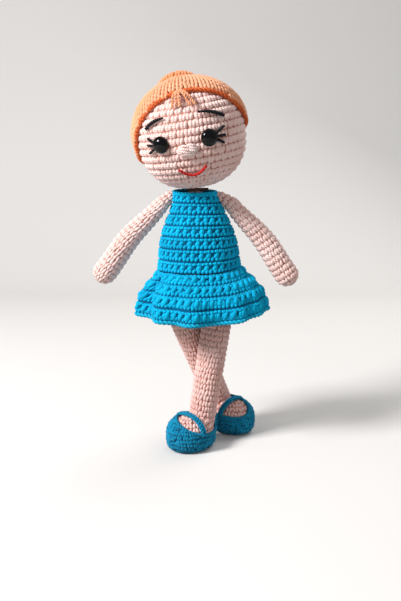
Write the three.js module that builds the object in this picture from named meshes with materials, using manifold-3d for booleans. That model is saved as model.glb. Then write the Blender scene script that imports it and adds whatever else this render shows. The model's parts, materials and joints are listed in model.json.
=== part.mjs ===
// A crocheted doll in a turquoise dress and strap shoes, standing with crossed legs.
// Every limb is a stuffed crocheted skin with its filling inside. Millimetres, +Z up.
// The doll faces -Y, so its own left side is +X.
import * as THREE from 'three';
import { mergeVertices } from 'three/addons/utils/BufferGeometryUtils.js';
import Module from 'manifold-3d';

const wasm = await Module();
wasm.setup();

// Yarn and clearances
const skinWall = 2.0;          // thickness of a crocheted skin
const dressWall = 1.7;         // the dress is worked in the same yarn, more loosely
const fit = 0.3;               // running clearance between neighbours
const dressGap = 0.5;          // the dress sits loosely over the body
const fillingGap = 0.6;        // loose filling stays a little inside its skin
const overrun = 5.0;           // how far a cutting body passes the faces it cuts
const threadRadius = 0.7;      // embroidery thread of the mouth and the brows
const lashRadius = 0.5;        // the finer thread of the lashes
const strandRadius = 0.55;     // one loose strand of the fringe
const edgingRadius = 1.2;      // the slip-stitch rope along the hairline
const hemRadius = 0.9;         // the edging of the hem

// How finely round things are faceted
const bodySides = 26;
const limbSides = 12;
const shoeSides = 18;
const smallSides = 10;
const threadSides = 4;
const fillingSides = 14;
const headRows = 12;
const fillingRows = 8;
const limbRows = 5;
const endRows = 3;

// Height of the waist above the floor; every other height is taken from it
const waistHeight = 98.0;

// Legs and feet
const hipDrop = 11.4;          // hips below the waist
const hipHalfSpacing = 14.0;
const hipShift = -0.5;         // both hips sit this far off the middle, as sewn
const hipBehind = 3.0;         // the legs are sewn on a little behind the middle
const hipRadius = 7.9;
const thighRadius = 8.0;
const kneeRadius = 7.7;
const ankleRadius = 7.1;
const ankleHeight = 12.5;
// The left leg crosses in front; turns are degrees from straight ahead, leans are those of the instep.
// Each shoe's opening runs this far from heel to toe cap, its middle this far behind the shoe's
const leftFoot = {
  ankle: new THREE.Vector2(2.0, -2.8), turn: -41, lean: -31, mouthLength: 25.0, mouthSetback: 2.4,
};
const rightFoot = {
  ankle: new THREE.Vector2(14.3, 25.4), turn: 41, lean: 31, mouthLength: 29.0, mouthSetback: 0.6,
};

// Shoes
const shoeLength = 31.0;
const shoeWidth = 24.6;
const shoeHeight = 20.0;
const solePower = 4.0;         // a flatter curve below the widest line than above it
const upperPower = 2.1;
const soleThickness = 2.2;
const soleFlat = 0.5;          // depth of the flat that the doll stands on
const ankleSetback = 8.2;      // ankle behind the middle of the shoe
const mouthWidth = 18.0;       // opening of the shoe from side to side
const mouthPitch = 8;          // degrees by which the opening tips towards the toe
const strapWidth = 3.4;
const strapFront = 3.7;        // front edge of the strap ahead of the shoe's middle
const strapRise = 0.6;         // the strap stands this proud of the shoe

// Body and dress: half widths of the dress, each ring this far above the one before
const dressWaist = { rise: 0, halfWidth: 22.8 };
const dressLow = { rise: 6.0, halfWidth: 22.1 };
const dressBelly = { rise: 8.5, halfWidth: 21.1 };
const dressRibs = { rise: 9.5, halfWidth: 18.4 };
const dressChest = { rise: 10.0, halfWidth: 14.1 };
const dressNeck = { rise: 9.0, halfWidth: 11.8 };
const bodyDepthShare = 0.85;
const torsoBaseDrop = 3.5;     // the body's base below the waist
const torsoBasePower = 3.2;
const neckRadius = 7.4;

// Skirt: each ring this far below the one before, and this much wider
const skirtGather = { drop: 4.4, flare: 3.2 };
const skirtMiddle = { drop: 6.6, flare: 5.4 };
const skirtLow = { drop: 7.0, flare: 3.0 };
const skirtHem = { drop: 6.6, flare: 0.2 };
const skirtDepthShare = 0.8;
const skirtShift = 2.6;        // the hem hangs this far towards the doll's left
const hemRise = 2.6;           // and is this much higher at the sides than in front
const foldDepth = 5.2;
const foldGrowth = 1.4;        // power by which the folds deepen from the waist to the hem
const foldSpread = 11;         // degrees, half the width of a fold's ridge
const foldAnglesDegrees = [-76, -39, -10, 34, 56, 77, 112, 146, 181, 214, 249];
const skirtSides = 52;
const skirtRows = 4;

// Head
const headHalfWidth = 28.6;
const headHalfHeight = 27.2;
const crownPower = 2.05;       // a ball above
const chinPower = 2.35;        // and a little fuller below the middle
const headCentreForward = 4.0;
const headCentreSide = -3.1;
const headCentreRise = 27.4;   // above the neck's joint
const headTurn = -8;           // degrees, towards the doll's right
const headRoll = -9;
const headNod = 8;
const neckPivotRise = 1.4;     // above the neckline
const neckSeamRadius = 5.4;
const neckSeamThread = 0.45;

// Arms
const leftArmDegrees = 36.9;   // from hanging straight down
const rightArmDegrees = 39.6;
const armSpan = 46.1;          // shoulder centre to hand centre
const shoulderDrop = 8.5;      // below the neckline
const shoulderRadius = 4.5;
const elbowRadius = 6.2;
const handRadius = 6.5;
const seamThickness = 0.9;
const seamRadius = 2.4;
const seamHole = 1.2;

// Hair: a cap that ends at a slanted front plane and a nape plane
const capThickness = 1.4;
const frontHairline = { normal: new THREE.Vector3(-0.16, 0.836, 0.524), distance: 2.2 };
const napeHairline = { normal: new THREE.Vector3(-0.2, 0.31, 0.93), distance: 1.8 };
const hairlineSoftness = 2.0;
const capAxis = new THREE.Vector3(-0.05, 0.62, 0.78);
const capRings = 6;
const bunRadius = 14.2;
const bunHeightShare = 0.8;
const bunCentre = new THREE.Vector3(-5.5, 22.0, 20.0);
const bunWall = 2.0;

// Face, as degrees round from the middle of the face and up from the head's middle
const eyeRadius = 4.0;
const eyeHeight = 3.3;
const eyePostRadius = 1.3;
const eyePostLength = 8.0;
const washerRadius = 4.6;
const washerThickness = 1.0;
const leftEye = { round: 25.0, up: -2.0 };
const rightEye = { round: -24.6, up: -1.2 };
const nose = { round: 1.8, up: -9.6, halfWidth: 5.0, halfHeight: 2.5, rise: 2.4 };
const mouthArc = { middle: 3.5, reach: 15.3, low: -36.0, rise: 8.8 };
const browArc = { start: 18.5, leftEnd: 46.0, rightEnd: 42.0, high: 23.5, drop: 8.5, bend: 20 };
const leftLashTips = [{ round: 42.4, up: 6.2 }, { round: 42.0, up: -2.6 }, { round: 39.2, up: -9.4 }];
const rightLashTips = [{ round: -38.8, up: 6.6 }, { round: -40.8, up: -0.2 }, { round: -40.0, up: -8.0 }];
const lashRootSpread = 2.8;
const fringeTips = [
  { round: -8.0, up: 32.2 },
  { round: -3.4, up: 34.6 },
  { round: 0.6, up: 32.0 },
  { round: 12.6, up: 32.0 },
  { round: 18.7, up: 31.5 },
];
const fringeRoot = { round: 2.0, up: 50.0, spread: 3.2 };

const colours = {
  skin: 0xefc8b4,
  filling: 0xf4f1ea,
  dress: 0x0fa0c0,
  shoe: 0x0e86aa,
  hair: 0xf08a3c,
  eye: 0x101014,
  washer: 0xd8d8d4,
  black: 0x15151a,
  mouth: 0xd01818,
  thread: 0xead0c0,
};

// Small helpers

const radians = THREE.MathUtils.degToRad;
const mix = THREE.MathUtils.lerp;

function material(name) {
  const glossy = name === 'eye';
  return new THREE.MeshStandardMaterial({ color: colours[name], roughness: glossy ? 0.15 : 0.95, metalness: 0 });
}

function named(name, geometry, colour) {
  const mesh = new THREE.Mesh(geometry, material(colour));
  mesh.name = name;
  return mesh;
}

// Manifold body of a closed geometry
function solid(geometry) {
  const bare = geometry.index ? geometry.clone() : geometry;
  bare.deleteAttribute('normal');
  bare.deleteAttribute('uv');
  const merged = mergeVertices(bare, 1e-4);
  const mesh = new wasm.Mesh({
    numProp: 3,
    vertProperties: Float32Array.from(merged.attributes.position.array),
    triVerts: Uint32Array.from(merged.index.array),
  });
  return new wasm.Manifold(mesh);
}

// Geometry of a manifold body
function geometryOf(body) {
  const mesh = body.getMesh();
  const geometry = new THREE.BufferGeometry();
  geometry.setAttribute('position', new THREE.BufferAttribute(Float32Array.from(mesh.vertProperties), mesh.numProp));
  geometry.setIndex(new THREE.BufferAttribute(Uint32Array.from(mesh.triVerts), 1));
  geometry.computeVertexNormals();
  return geometry;
}

function cut(geometry, ...tools) {
  let body = solid(geometry);
  for (const tool of tools) {
    body = body.subtract(solid(tool));
  }
  return geometryOf(body);
}

function joined(first, ...others) {
  let body = solid(first);
  for (const other of others) {
    body = body.add(solid(other));
  }
  return geometryOf(body);
}

function common(first, second) {
  return geometryOf(solid(first).intersect(solid(second)));
}

// Closed skin over rings of points. The ends get a middle point each, or join each other
function skinOver(rings, ringJoins = false) {
  const sides = rings[0].length;
  const points = rings.flat();
  const triangles = [];
  const lastRing = rings.length - (ringJoins ? 0 : 1);
  for (let i = 0; i < lastRing; i++) {
    const low = i * sides;
    const high = ((i + 1) % rings.length) * sides;
    for (let k = 0; k < sides; k++) {
      const next = (k + 1) % sides;
      triangles.push(low + k, low + next, high + next);
      triangles.push(low + k, high + next, high + k);
    }
  }
  if (!ringJoins) {
    for (const [ring, offset, inward] of [[rings[0], 0, true], [rings.at(-1), points.length - sides, false]]) {
      const middle = new THREE.Vector3();
      ring.forEach((point) => middle.add(point));
      middle.divideScalar(sides);
      const centre = points.length;
      points.push(middle);
      for (let k = 0; k < sides; k++) {
        const next = (k + 1) % sides;
        triangles.push(centre, offset + (inward ? next : k), offset + (inward ? k : next));
      }
    }
  }
  const geometry = new THREE.BufferGeometry().setFromPoints(points);
  geometry.setIndex(triangles);
  geometry.computeVertexNormals();
  return geometry;
}

// Body of revolution about Z from [radius, height] pairs that run from the bottom to the top
function turned(profile, sides, depthShare = 1) {
  const points = profile.map(([radius, height]) => new THREE.Vector2(radius, height));
  const geometry = new THREE.LatheGeometry(points, sides);
  geometry.rotateX(Math.PI / 2);
  geometry.scale(1, depthShare, 1);
  return geometry;
}

// Half outline of a rounded form, from its lower pole to its upper pole
function roundOutline(halfWidth, halfHeight, lowPower, highPower, rows) {
  const outline = [];
  for (let i = 0; i <= rows; i++) {
    const angle = mix(-Math.PI / 2, Math.PI / 2, i / rows);
    const power = angle < 0 ? lowPower : highPower;
    const across = i === 0 || i === rows ? 0 : Math.cos(angle) ** (2 / power);
    const up = Math.sign(angle) * Math.abs(Math.sin(angle)) ** (2 / power);
    outline.push([halfWidth * across, halfHeight * up]);
  }
  return outline;
}

// Thread of a given radius through points, closed at both ends
function threadThrough(points, radius, steps) {
  const section = new THREE.Shape();
  for (let k = 0; k < threadSides; k++) {
    const angle = (k / threadSides) * 2 * Math.PI;
    const corner = [radius * Math.cos(angle), radius * Math.sin(angle)];
    if (k === 0) {
      section.moveTo(...corner);
    } else {
      section.lineTo(...corner);
    }
  }
  const extrudePath = new THREE.CatmullRomCurve3(points);
  return new THREE.ExtrudeGeometry(section, { steps, extrudePath, bevelEnabled: false });
}

// Closed rope through a loop of points, with a known outward direction at each
function ropeRound(points, outwards, radius) {
  const count = points.length;
  const rings = points.map((point, i) => {
    const along = points[(i + 1) % count].clone().sub(points[(i + count - 1) % count]).normalize();
    const aside = new THREE.Vector3().crossVectors(along, outwards[i]).normalize();
    const out = new THREE.Vector3().crossVectors(aside, along);
    return Array.from({ length: threadSides }, (_, k) => {
      const angle = (k / threadSides) * 2 * Math.PI;
      return point.clone()
        .addScaledVector(out, radius * Math.cos(angle))
        .addScaledVector(aside, radius * Math.sin(angle));
    });
  });
  return skinOver(rings, true);
}

// Head form and places on it

function headForm(grow, sides = bodySides, rows = headRows) {
  return turned(roundOutline(headHalfWidth + grow, headHalfHeight + grow, chinPower, crownPower, rows), sides);
}

// Point over the head's surface in a given direction from its middle
function overHead(direction, lift) {
  const power = direction.z > 0 ? crownPower : chinPower;
  const level = Math.hypot(direction.x, direction.y) / headHalfWidth;
  const rise = Math.abs(direction.z) / headHalfHeight;
  const reach = (level ** power + rise ** power) ** (-1 / power);
  return direction.clone().multiplyScalar(reach + lift);
}

function faceDirection({ round, up }) {
  const azimuth = radians(round);
  const height = radians(up);
  return new THREE.Vector3(
    Math.sin(azimuth) * Math.cos(height),
    -Math.cos(azimuth) * Math.cos(height),
    Math.sin(height),
  );
}

function onFace(place, lift) {
  return overHead(faceDirection(place), lift);
}

// Piece built along +Z, put on the face so that it looks outwards
function facing(geometry, place, lift) {
  const direction = faceDirection(place);
  const turn = new THREE.Quaternion().setFromUnitVectors(new THREE.Vector3(0, 0, 1), direction);
  geometry.applyQuaternion(turn);
  const seat = overHead(direction, lift);
  geometry.translate(seat.x, seat.y, seat.z);
  return geometry;
}

// Eyes: a domed safety eye with a post through the skin and a washer inside

function eyeDome(place) {
  const outline = [[0, -eyePostLength], [eyePostRadius, -eyePostLength], [eyePostRadius, 0], [eyeRadius, 0]];
  const rows = 5;
  for (let i = 1; i < rows; i++) {
    const angle = (i / rows) * (Math.PI / 2);
    outline.push([eyeRadius * Math.cos(angle), eyeHeight * Math.sin(angle)]);
  }
  outline.push([0, eyeHeight]);
  return facing(turned(outline, smallSides), place, fit);
}

function postHole(place, radius, depth) {
  const outline = [[0, -depth], [radius, -depth], [radius, overrun], [0, overrun]];
  return facing(turned(outline, smallSides), place, 0);
}

// The flat washer meets the round inside of the skin at its rim
const innerHeadRadius = headHalfWidth - skinWall;
const washerSag = innerHeadRadius - Math.sqrt(innerHeadRadius ** 2 - washerRadius ** 2);
const washerDepth = skinWall + washerSag + fillingGap;

function eyeWasher(place) {
  const hole = eyePostRadius + fit;
  const low = -washerDepth - washerThickness;
  const high = -washerDepth;
  const outline = [[hole, low], [washerRadius, low], [washerRadius, high], [hole, high], [hole, low]];
  return facing(turned(outline, smallSides), place, 0);
}

function washerPocket(place) {
  const depth = eyePostLength + overrun;
  const radius = washerRadius + fit;
  const outline = [[0, -depth], [radius, -depth], [radius, overrun], [0, overrun]];
  return facing(turned(outline, smallSides), place, 0);
}

// Embroidery

function noseStitch() {
  const outline = roundOutline(nose.halfHeight, nose.halfWidth, 2, 2, 8);
  const pad = turned(outline, smallSides);
  pad.rotateY(Math.PI / 2);
  pad.scale(1, nose.rise / nose.halfHeight, 1);
  const seat = onFace(nose, 0);
  pad.rotateX(radians(-nose.up));
  pad.rotateZ(radians(nose.round));
  pad.translate(seat.x, seat.y, seat.z);
  return cut(pad, headForm(fit));
}

function mouthThread() {
  const points = [];
  const knots = 8;
  for (let i = 0; i <= knots; i++) {
    const across = mix(-1, 1, i / knots);
    const place = { round: mouthArc.middle + mouthArc.reach * across, up: mouthArc.low + mouthArc.rise * across ** 2 };
    points.push(onFace(place, fit + threadRadius));
  }
  return threadThrough(points, threadRadius, knots);
}

function browThread(side) {
  const points = [];
  const knots = 6;
  const end = side > 0 ? browArc.leftEnd : browArc.rightEnd;
  for (let i = 0; i <= knots; i++) {
    const round = mix(browArc.start, end, i / knots);
    const fall = ((round - browArc.bend) / (end - browArc.bend)) ** 2;
    points.push(onFace({ round: side * round, up: browArc.high - browArc.drop * fall }, fit + threadRadius));
  }
  return threadThrough(points, threadRadius, knots);
}

function lashThread(eye, tip, spread) {
  const side = Math.sign(eye.round);
  const clear = THREE.MathUtils.radToDeg((eyeRadius + 2 * fit + lashRadius) / headHalfWidth);
  const root = { round: eye.round + side * clear, up: eye.up + spread };
  const middle = { round: mix(root.round, tip.round, 1 / 2), up: mix(root.up, tip.up, 1 / 2) };
  const lift = fit + lashRadius;
  return threadThrough([onFace(root, lift), onFace(middle, lift), onFace(tip, lift)], lashRadius, 4);
}

// Hair

// How far inside the hairline a point lies: the softened lesser of two plane distances
function insideHairline(point) {
  const front = point.dot(frontHairline.normal) + frontHairline.distance;
  const nape = point.dot(napeHairline.normal) + napeHairline.distance;
  const least = Math.min(front, nape);
  const apart = Math.abs(front - nape);
  return least - hairlineSoftness * Math.exp(-apart / hairlineSoftness) / 2;
}

const crown = capAxis.clone().normalize();
const crownSide = new THREE.Vector3(1, 0, 0).addScaledVector(crown, -crown.x).normalize();
const crownFront = new THREE.Vector3().crossVectors(crownSide, crown).normalize();

// Unit direction from the head's middle: round the crown, and down from it
function hairDirection(round, down) {
  return crown.clone().multiplyScalar(Math.cos(down))
    .addScaledVector(crownSide, Math.sin(down) * Math.cos(round))
    .addScaledVector(crownFront, Math.sin(down) * Math.sin(round));
}

// Angle down from the crown at which the hairline, moved outwards by past, is met
function hairlineAngle(round, lift, past) {
  let near = 0;
  let far = Math.PI;
  for (let i = 0; i < 30; i++) {
    const middle = (near + far) / 2;
    if (insideHairline(overHead(hairDirection(round, middle), lift)) > -past) {
      near = middle;
    } else {
      far = middle;
    }
  }
  return near;
}

function capForm(lift, floor) {
  const rings = [];
  for (const [height, shares] of [[lift, 1], [floor, -1]]) {
    for (let i = 0; i < capRings; i++) {
      const share = shares > 0 ? (i + 1) / capRings : (capRings - i) / capRings;
      rings.push(Array.from({ length: bodySides }, (_, k) => {
        const round = (k / bodySides) * 2 * Math.PI;
        return overHead(hairDirection(round, share * hairlineAngle(round, lift, 0)), height);
      }));
    }
  }
  return skinOver(rings);
}

function hairCap() {
  return cut(capForm(fit + capThickness, -skinWall), headForm(fit));
}

function hairEdging() {
  const points = [];
  const outwards = [];
  const lift = fit + edgingRadius;
  const steps = 2 * bodySides;
  for (let k = 0; k < steps; k++) {
    const round = (k / steps) * 2 * Math.PI;
    const direction = hairDirection(round, hairlineAngle(round, lift, edgingRadius + fit));
    points.push(overHead(direction, lift));
    outwards.push(direction);
  }
  return ropeRound(points, outwards, edgingRadius);
}

function bunForm(grow) {
  const outline = roundOutline(bunRadius + grow, bunRadius * bunHeightShare + grow, 2, 2, 8);
  const form = turned(outline, limbSides);
  const turn = new THREE.Quaternion().setFromUnitVectors(new THREE.Vector3(0, 0, 1), bunCentre.clone().normalize());
  form.applyQuaternion(turn);
  form.translate(bunCentre.x, bunCentre.y, bunCentre.z);
  return form;
}

function hairBun() {
  return cut(bunForm(0), bunForm(-bunWall), headForm(3 * fit + capThickness));
}

function bunFilling() {
  return cut(bunForm(-bunWall - fillingGap), headForm(3 * fit + capThickness));
}

function fringeStrand(tip, place) {
  const root = { round: fringeRoot.round + place * fringeRoot.spread, up: fringeRoot.up };
  const overEdging = 2 * fit + 2 * edgingRadius + strandRadius;
  const points = [];
  const knots = 5;
  for (let i = 0; i <= knots; i++) {
    const share = i / knots;
    const ease = share * share * (3 - 2 * share);
    const spot = { round: mix(root.round, tip.round, share), up: mix(root.up, tip.up, share) };
    points.push(onFace(spot, mix(overEdging, fit + strandRadius, Math.max(0, 2 * ease - 1))));
  }
  return threadThrough(points, strandRadius, 6);
}

// Torso and dress

let ringHeight = waistHeight;
const dressOutline = [dressWaist, dressLow, dressBelly, dressRibs, dressChest, dressNeck].map(({ rise, halfWidth }) => {
  ringHeight += rise;
  return { height: ringHeight, halfWidth };
});
const neckHeight = dressOutline.at(-1).height;
const shoulderHeight = neckHeight - shoulderDrop;
const neckPivotHeight = neckHeight + neckPivotRise;
const hipHeight = waistHeight - hipDrop;

// [radius, height] pairs of the dress from the waist to the neckline, moved out by grow
function dressProfile(grow) {
  const curve = new THREE.SplineCurve(dressOutline.map(({ height, halfWidth }) => new THREE.Vector2(halfWidth, height)));
  return curve.getPoints(dressOutline.length + 1).map((point) => [point.x + grow, point.y]);
}

// Half width of the dress at a height between two of its outline's rings
function dressHalfWidth(height) {
  const above = dressOutline.findIndex((ring) => ring.height >= height);
  const [low, high] = [dressOutline[above - 1], dressOutline[above]];
  return mix(low.halfWidth, high.halfWidth, (height - low.height) / (high.height - low.height));
}

function dressBodice() {
  const outer = dressProfile(0);
  const inner = dressProfile(-dressWall).reverse();
  return turned([...outer, ...inner, outer[0]], bodySides, bodyDepthShare);
}

// Torso outline: a rounded base, the sides inside the dress, and a rounded neck
function torsoForm(grow, roundSides = bodySides) {
  const sides = dressProfile(grow - dressWall - dressGap);
  const [lowRadius, lowHeight] = sides[0];
  const base = [];
  for (let i = 0; i < endRows; i++) {
    const angle = (i / endRows) * (Math.PI / 2);
    const across = Math.sin(angle) ** (2 / torsoBasePower);
    const down = Math.cos(angle) ** (2 / torsoBasePower);
    base.push([lowRadius * across, lowHeight - (torsoBaseDrop + grow) * down]);
  }
  const top = neckHeight + grow;
  const shoulders = sides.slice(0, -1);
  return turned([...base, ...shoulders, [neckRadius + 2 * fit + grow, top - fit], [0, top]], roundSides, bodyDepthShare);
}

function columnThrough(radius, low, high) {
  return turned([[0, low], [radius, low], [radius, high], [0, high]], limbSides);
}

function torsoSkin() {
  const opening = columnThrough(neckRadius - skinWall, neckHeight - overrun, neckHeight + overrun);
  return cut(torsoForm(0), torsoForm(-skinWall), opening);
}

function neckSeam() {
  const count = limbSides;
  const points = [];
  const outwards = [];
  for (let k = 0; k < count; k++) {
    const angle = (k / count) * 2 * Math.PI;
    const out = new THREE.Vector3(Math.cos(angle), Math.sin(angle), 0);
    outwards.push(out);
    points.push(out.clone().multiplyScalar(neckSeamRadius).setZ(neckHeight + fit / 2 + neckSeamThread));
  }
  return ropeRound(points, outwards, neckSeamThread);
}

// Skirt: an oval bell whose folds deepen towards the hem

const skirtRings = [new THREE.Vector2(dressWaist.halfWidth, 0)];
for (const { drop, flare } of [skirtGather, skirtMiddle, skirtLow, skirtHem]) {
  skirtRings.push(skirtRings.at(-1).clone().add(new THREE.Vector2(flare, drop)));
}
const skirtOutline = new THREE.SplineCurve(skirtRings);

function foldShare(degrees) {
  let sum = 0;
  for (const ridge of foldAnglesDegrees) {
    const apart = THREE.MathUtils.euclideanModulo(degrees - ridge + 180, 360) - 180;
    sum += Math.exp(-((apart / foldSpread) ** 2));
  }
  return sum - 1 / 2;
}

function skirtPoint(angle, share, grow) {
  const { x: halfWidth, y: drop } = skirtOutline.getPoint(share);
  const fold = foldDepth * share ** foldGrowth * foldShare(THREE.MathUtils.radToDeg(angle));
  const reach = halfWidth + fold + grow;
  const depth = halfWidth * mix(bodyDepthShare, skirtDepthShare, share) + fold + grow;
  return new THREE.Vector3(
    reach * Math.sin(angle) + skirtShift * share,
    -depth * Math.cos(angle),
    waistHeight - fit - drop + hemRise * (share * Math.sin(angle)) ** 2,
  );
}

function skirtRing(share, grow) {
  return Array.from({ length: skirtSides }, (_, k) => skirtPoint((k / skirtSides) * 2 * Math.PI, share, grow));
}

function dressSkirt() {
  const rings = [];
  for (let i = skirtRows; i >= 0; i--) {
    rings.push(skirtRing(i / skirtRows, 0));
  }
  for (let i = 0; i <= skirtRows; i++) {
    rings.push(skirtRing(i / skirtRows, -dressWall));
  }
  return skinOver(rings, true);
}

function hemEdging() {
  const points = skirtRing(1, -dressWall / 2);
  const outwards = points.map((point) => new THREE.Vector3(point.x, point.y, 0).normalize());
  points.forEach((point) => point.setZ(point.z - fit - hemRadius));
  return ropeRound(points, outwards, hemRadius);
}

// Limbs

// Tapering limb that hangs down from a round root at its origin to a round end
function limbForm(span, radii, grow) {
  const rootRadius = radii[0];
  const endRadius = radii.at(-1);
  const curve = new THREE.SplineCurve(radii.map((radius, i) => new THREE.Vector2(radius, -span * i / (radii.length - 1))));
  const profile = [];
  for (let i = 0; i < endRows; i++) {
    const angle = (i / endRows) * (Math.PI / 2);
    profile.push([(endRadius + grow) * Math.sin(angle), -span - (endRadius + grow) * Math.cos(angle)]);
  }
  for (let i = 0; i <= limbRows; i++) {
    const point = curve.getPoint(1 - i / limbRows);
    profile.push([point.x + grow, point.y]);
  }
  for (let i = 1; i <= endRows; i++) {
    const angle = (i / endRows) * (Math.PI / 2);
    const across = i === endRows ? 0 : Math.cos(angle);
    profile.push([(rootRadius + grow) * across, (rootRadius + grow) * Math.sin(angle)]);
  }
  return turned(profile, limbSides);
}

const armRadii = [shoulderRadius, mix(shoulderRadius, elbowRadius, 0.6), elbowRadius, handRadius];
const legRadii = [hipRadius, thighRadius, kneeRadius, ankleRadius];

function hollowLimb(form, rootRadius) {
  const opening = columnThrough(rootRadius / 2, 0, rootRadius + overrun);
  return cut(form(0), form(-skinWall), opening);
}

// The arm hangs outwards from the side of the dress; side is 1 for the doll's left
function addArm(doll, name, side, drop) {
  const hang = radians(drop);
  const seamSide = dressHalfWidth(shoulderHeight - seamRadius) + fit;
  const pivot = new THREE.Group();
  pivot.name = `${name}_pivot`;
  const centre = seamSide + seamThickness + fit + shoulderRadius;
  pivot.position.set(side * centre, 0, shoulderHeight);
  const arm = new THREE.Group();
  arm.rotation.y = -side * hang;
  const form = (grow) => limbForm(armSpan, armRadii, grow);
  arm.add(named(name, hollowLimb(form, shoulderRadius), 'skin'));
  arm.add(named(`${name}_stuffing`, form(-skinWall - fillingGap), 'filling'));
  pivot.add(arm);
  doll.add(pivot);
  const low = -seamThickness / 2;
  const high = seamThickness / 2;
  const ring = turned([[seamHole, low], [seamRadius, low], [seamRadius, high], [seamHole, high], [seamHole, low]], smallSides);
  ring.rotateY(Math.PI / 2);
  const seam = named(name.replace('arm', 'shoulder_seam'), ring, 'thread');
  seam.position.set(side * (seamSide + seamThickness / 2), 0, shoulderHeight);
  doll.add(seam);
}

// Rounded shoe body with a full, flat sole; grow moves its whole surface
function shoeForm(grow) {
  const outline = roundOutline(shoeLength / 2 + grow, shoeHeight / 2 + soleFlat / 2 + grow, solePower, upperPower, 8);
  const form = turned(outline, shoeSides);
  form.scale(1, (shoeWidth / 2 + grow) / (shoeLength / 2 + grow), 1);
  form.translate(0, 0, shoeHeight / 2 - soleFlat / 2);
  return form;
}

function footForm(grow) {
  const halfLength = shoeLength / 2 - skinWall - fit + grow;
  const halfWidth = shoeWidth / 2 - skinWall - fit + grow;
  const low = soleThickness + fit - grow;
  const high = shoeHeight - skinWall - fit + grow;
  const form = turned(roundOutline(halfLength, (high - low) / 2, solePower, upperPower, 6), shoeSides);
  form.scale(1, halfWidth / halfLength, 1);
  form.translate(0, 0, (high + low) / 2);
  return form;
}

function block(width, depth, low, high) {
  const box = new THREE.BoxGeometry(width, depth, high - low);
  box.translate(0, 0, (high + low) / 2);
  return box;
}

// Tips a piece of the instep towards the toe and leans it about the line from heel to toe
function leaned(geometry, lean) {
  geometry.translate(0, 0, -shoeHeight / 2);
  geometry.rotateY(radians(mouthPitch));
  geometry.rotateX(radians(lean));
  geometry.translate(0, 0, shoeHeight / 2);
  return geometry;
}

// Opening of a foot's shoe, an oval column about the ankle and the instep
function shoeMouth({ mouthLength, mouthSetback }, grow) {
  const halfLength = mouthLength / 2 + grow;
  const column = turned(
    [[0, shoeHeight / 2], [halfLength, shoeHeight / 2], [halfLength, 2 * shoeHeight], [0, 2 * shoeHeight]],
    shoeSides,
  );
  column.scale(1, (mouthWidth / 2 + grow) / halfLength, 1);
  column.translate(-mouthSetback, 0, 0);
  return column;
}

// One leg with its foot, stuffing, shoe and strap. The foot's own X axis points to its toe
function addLeg(doll, name, side, foot) {
  const { ankle, turn, lean } = foot;
  const hip = new THREE.Vector3(hipShift + side * hipHalfSpacing, hipBehind, hipHeight);
  const end = new THREE.Vector3(ankle.x, ankle.y, ankleHeight);
  const span = hip.distanceTo(end);
  const hang = new THREE.Quaternion().setFromUnitVectors(new THREE.Vector3(0, 0, -1), end.clone().sub(hip).normalize());
  const legPlace = new THREE.Matrix4().compose(hip, hang, new THREE.Vector3(1, 1, 1));
  const toe = radians(turn) - Math.PI / 2;
  const footPlace = new THREE.Matrix4()
    .makeRotationZ(toe)
    .setPosition(ankle.x + ankleSetback * Math.cos(toe), ankle.y + ankleSetback * Math.sin(toe), 0);
  const legAt = (grow) => limbForm(span, legRadii, grow).applyMatrix4(legPlace);
  const footAt = (grow) => footForm(grow).applyMatrix4(footPlace);
  const limb = (grow) => joined(legAt(grow), footAt(grow));
  const opening = columnThrough(hipRadius / 2, 0, hipRadius + overrun).applyMatrix4(legPlace);
  const clearance = limb(fit);
  const floor = block(3 * shoeLength, 3 * shoeLength, -shoeHeight, 0).applyMatrix4(footPlace);
  const mouth = leaned(shoeMouth(foot, 0), lean).applyMatrix4(footPlace);
  const shoe = cut(shoeForm(0).applyMatrix4(footPlace), floor, clearance, mouth);
  const slab = block(strapWidth, 2 * shoeWidth, shoeHeight / 2, 2 * shoeHeight);
  slab.translate(strapFront - strapWidth / 2, 0, 0);
  const window = leaned(common(slab, shoeMouth(foot, -fit)), lean);
  const band = common(window, shoeForm(strapRise));
  const strap = cut(band.applyMatrix4(footPlace), clearance);
  const pivot = new THREE.Group();
  pivot.name = `${name}_pivot`;
  pivot.position.copy(hip);
  doll.add(pivot);
  doll.add(named(name, cut(limb(0), limb(-skinWall), opening), 'skin'));
  doll.add(named(`${name}_stuffing`, limb(-skinWall - fillingGap), 'filling'));
  doll.add(named(name.replace('leg', 'shoe'), shoe, 'shoe'));
  doll.add(named(name.replace('leg', 'shoe_strap'), strap, 'shoe'));
}

// Head with everything that is sewn to it

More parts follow.
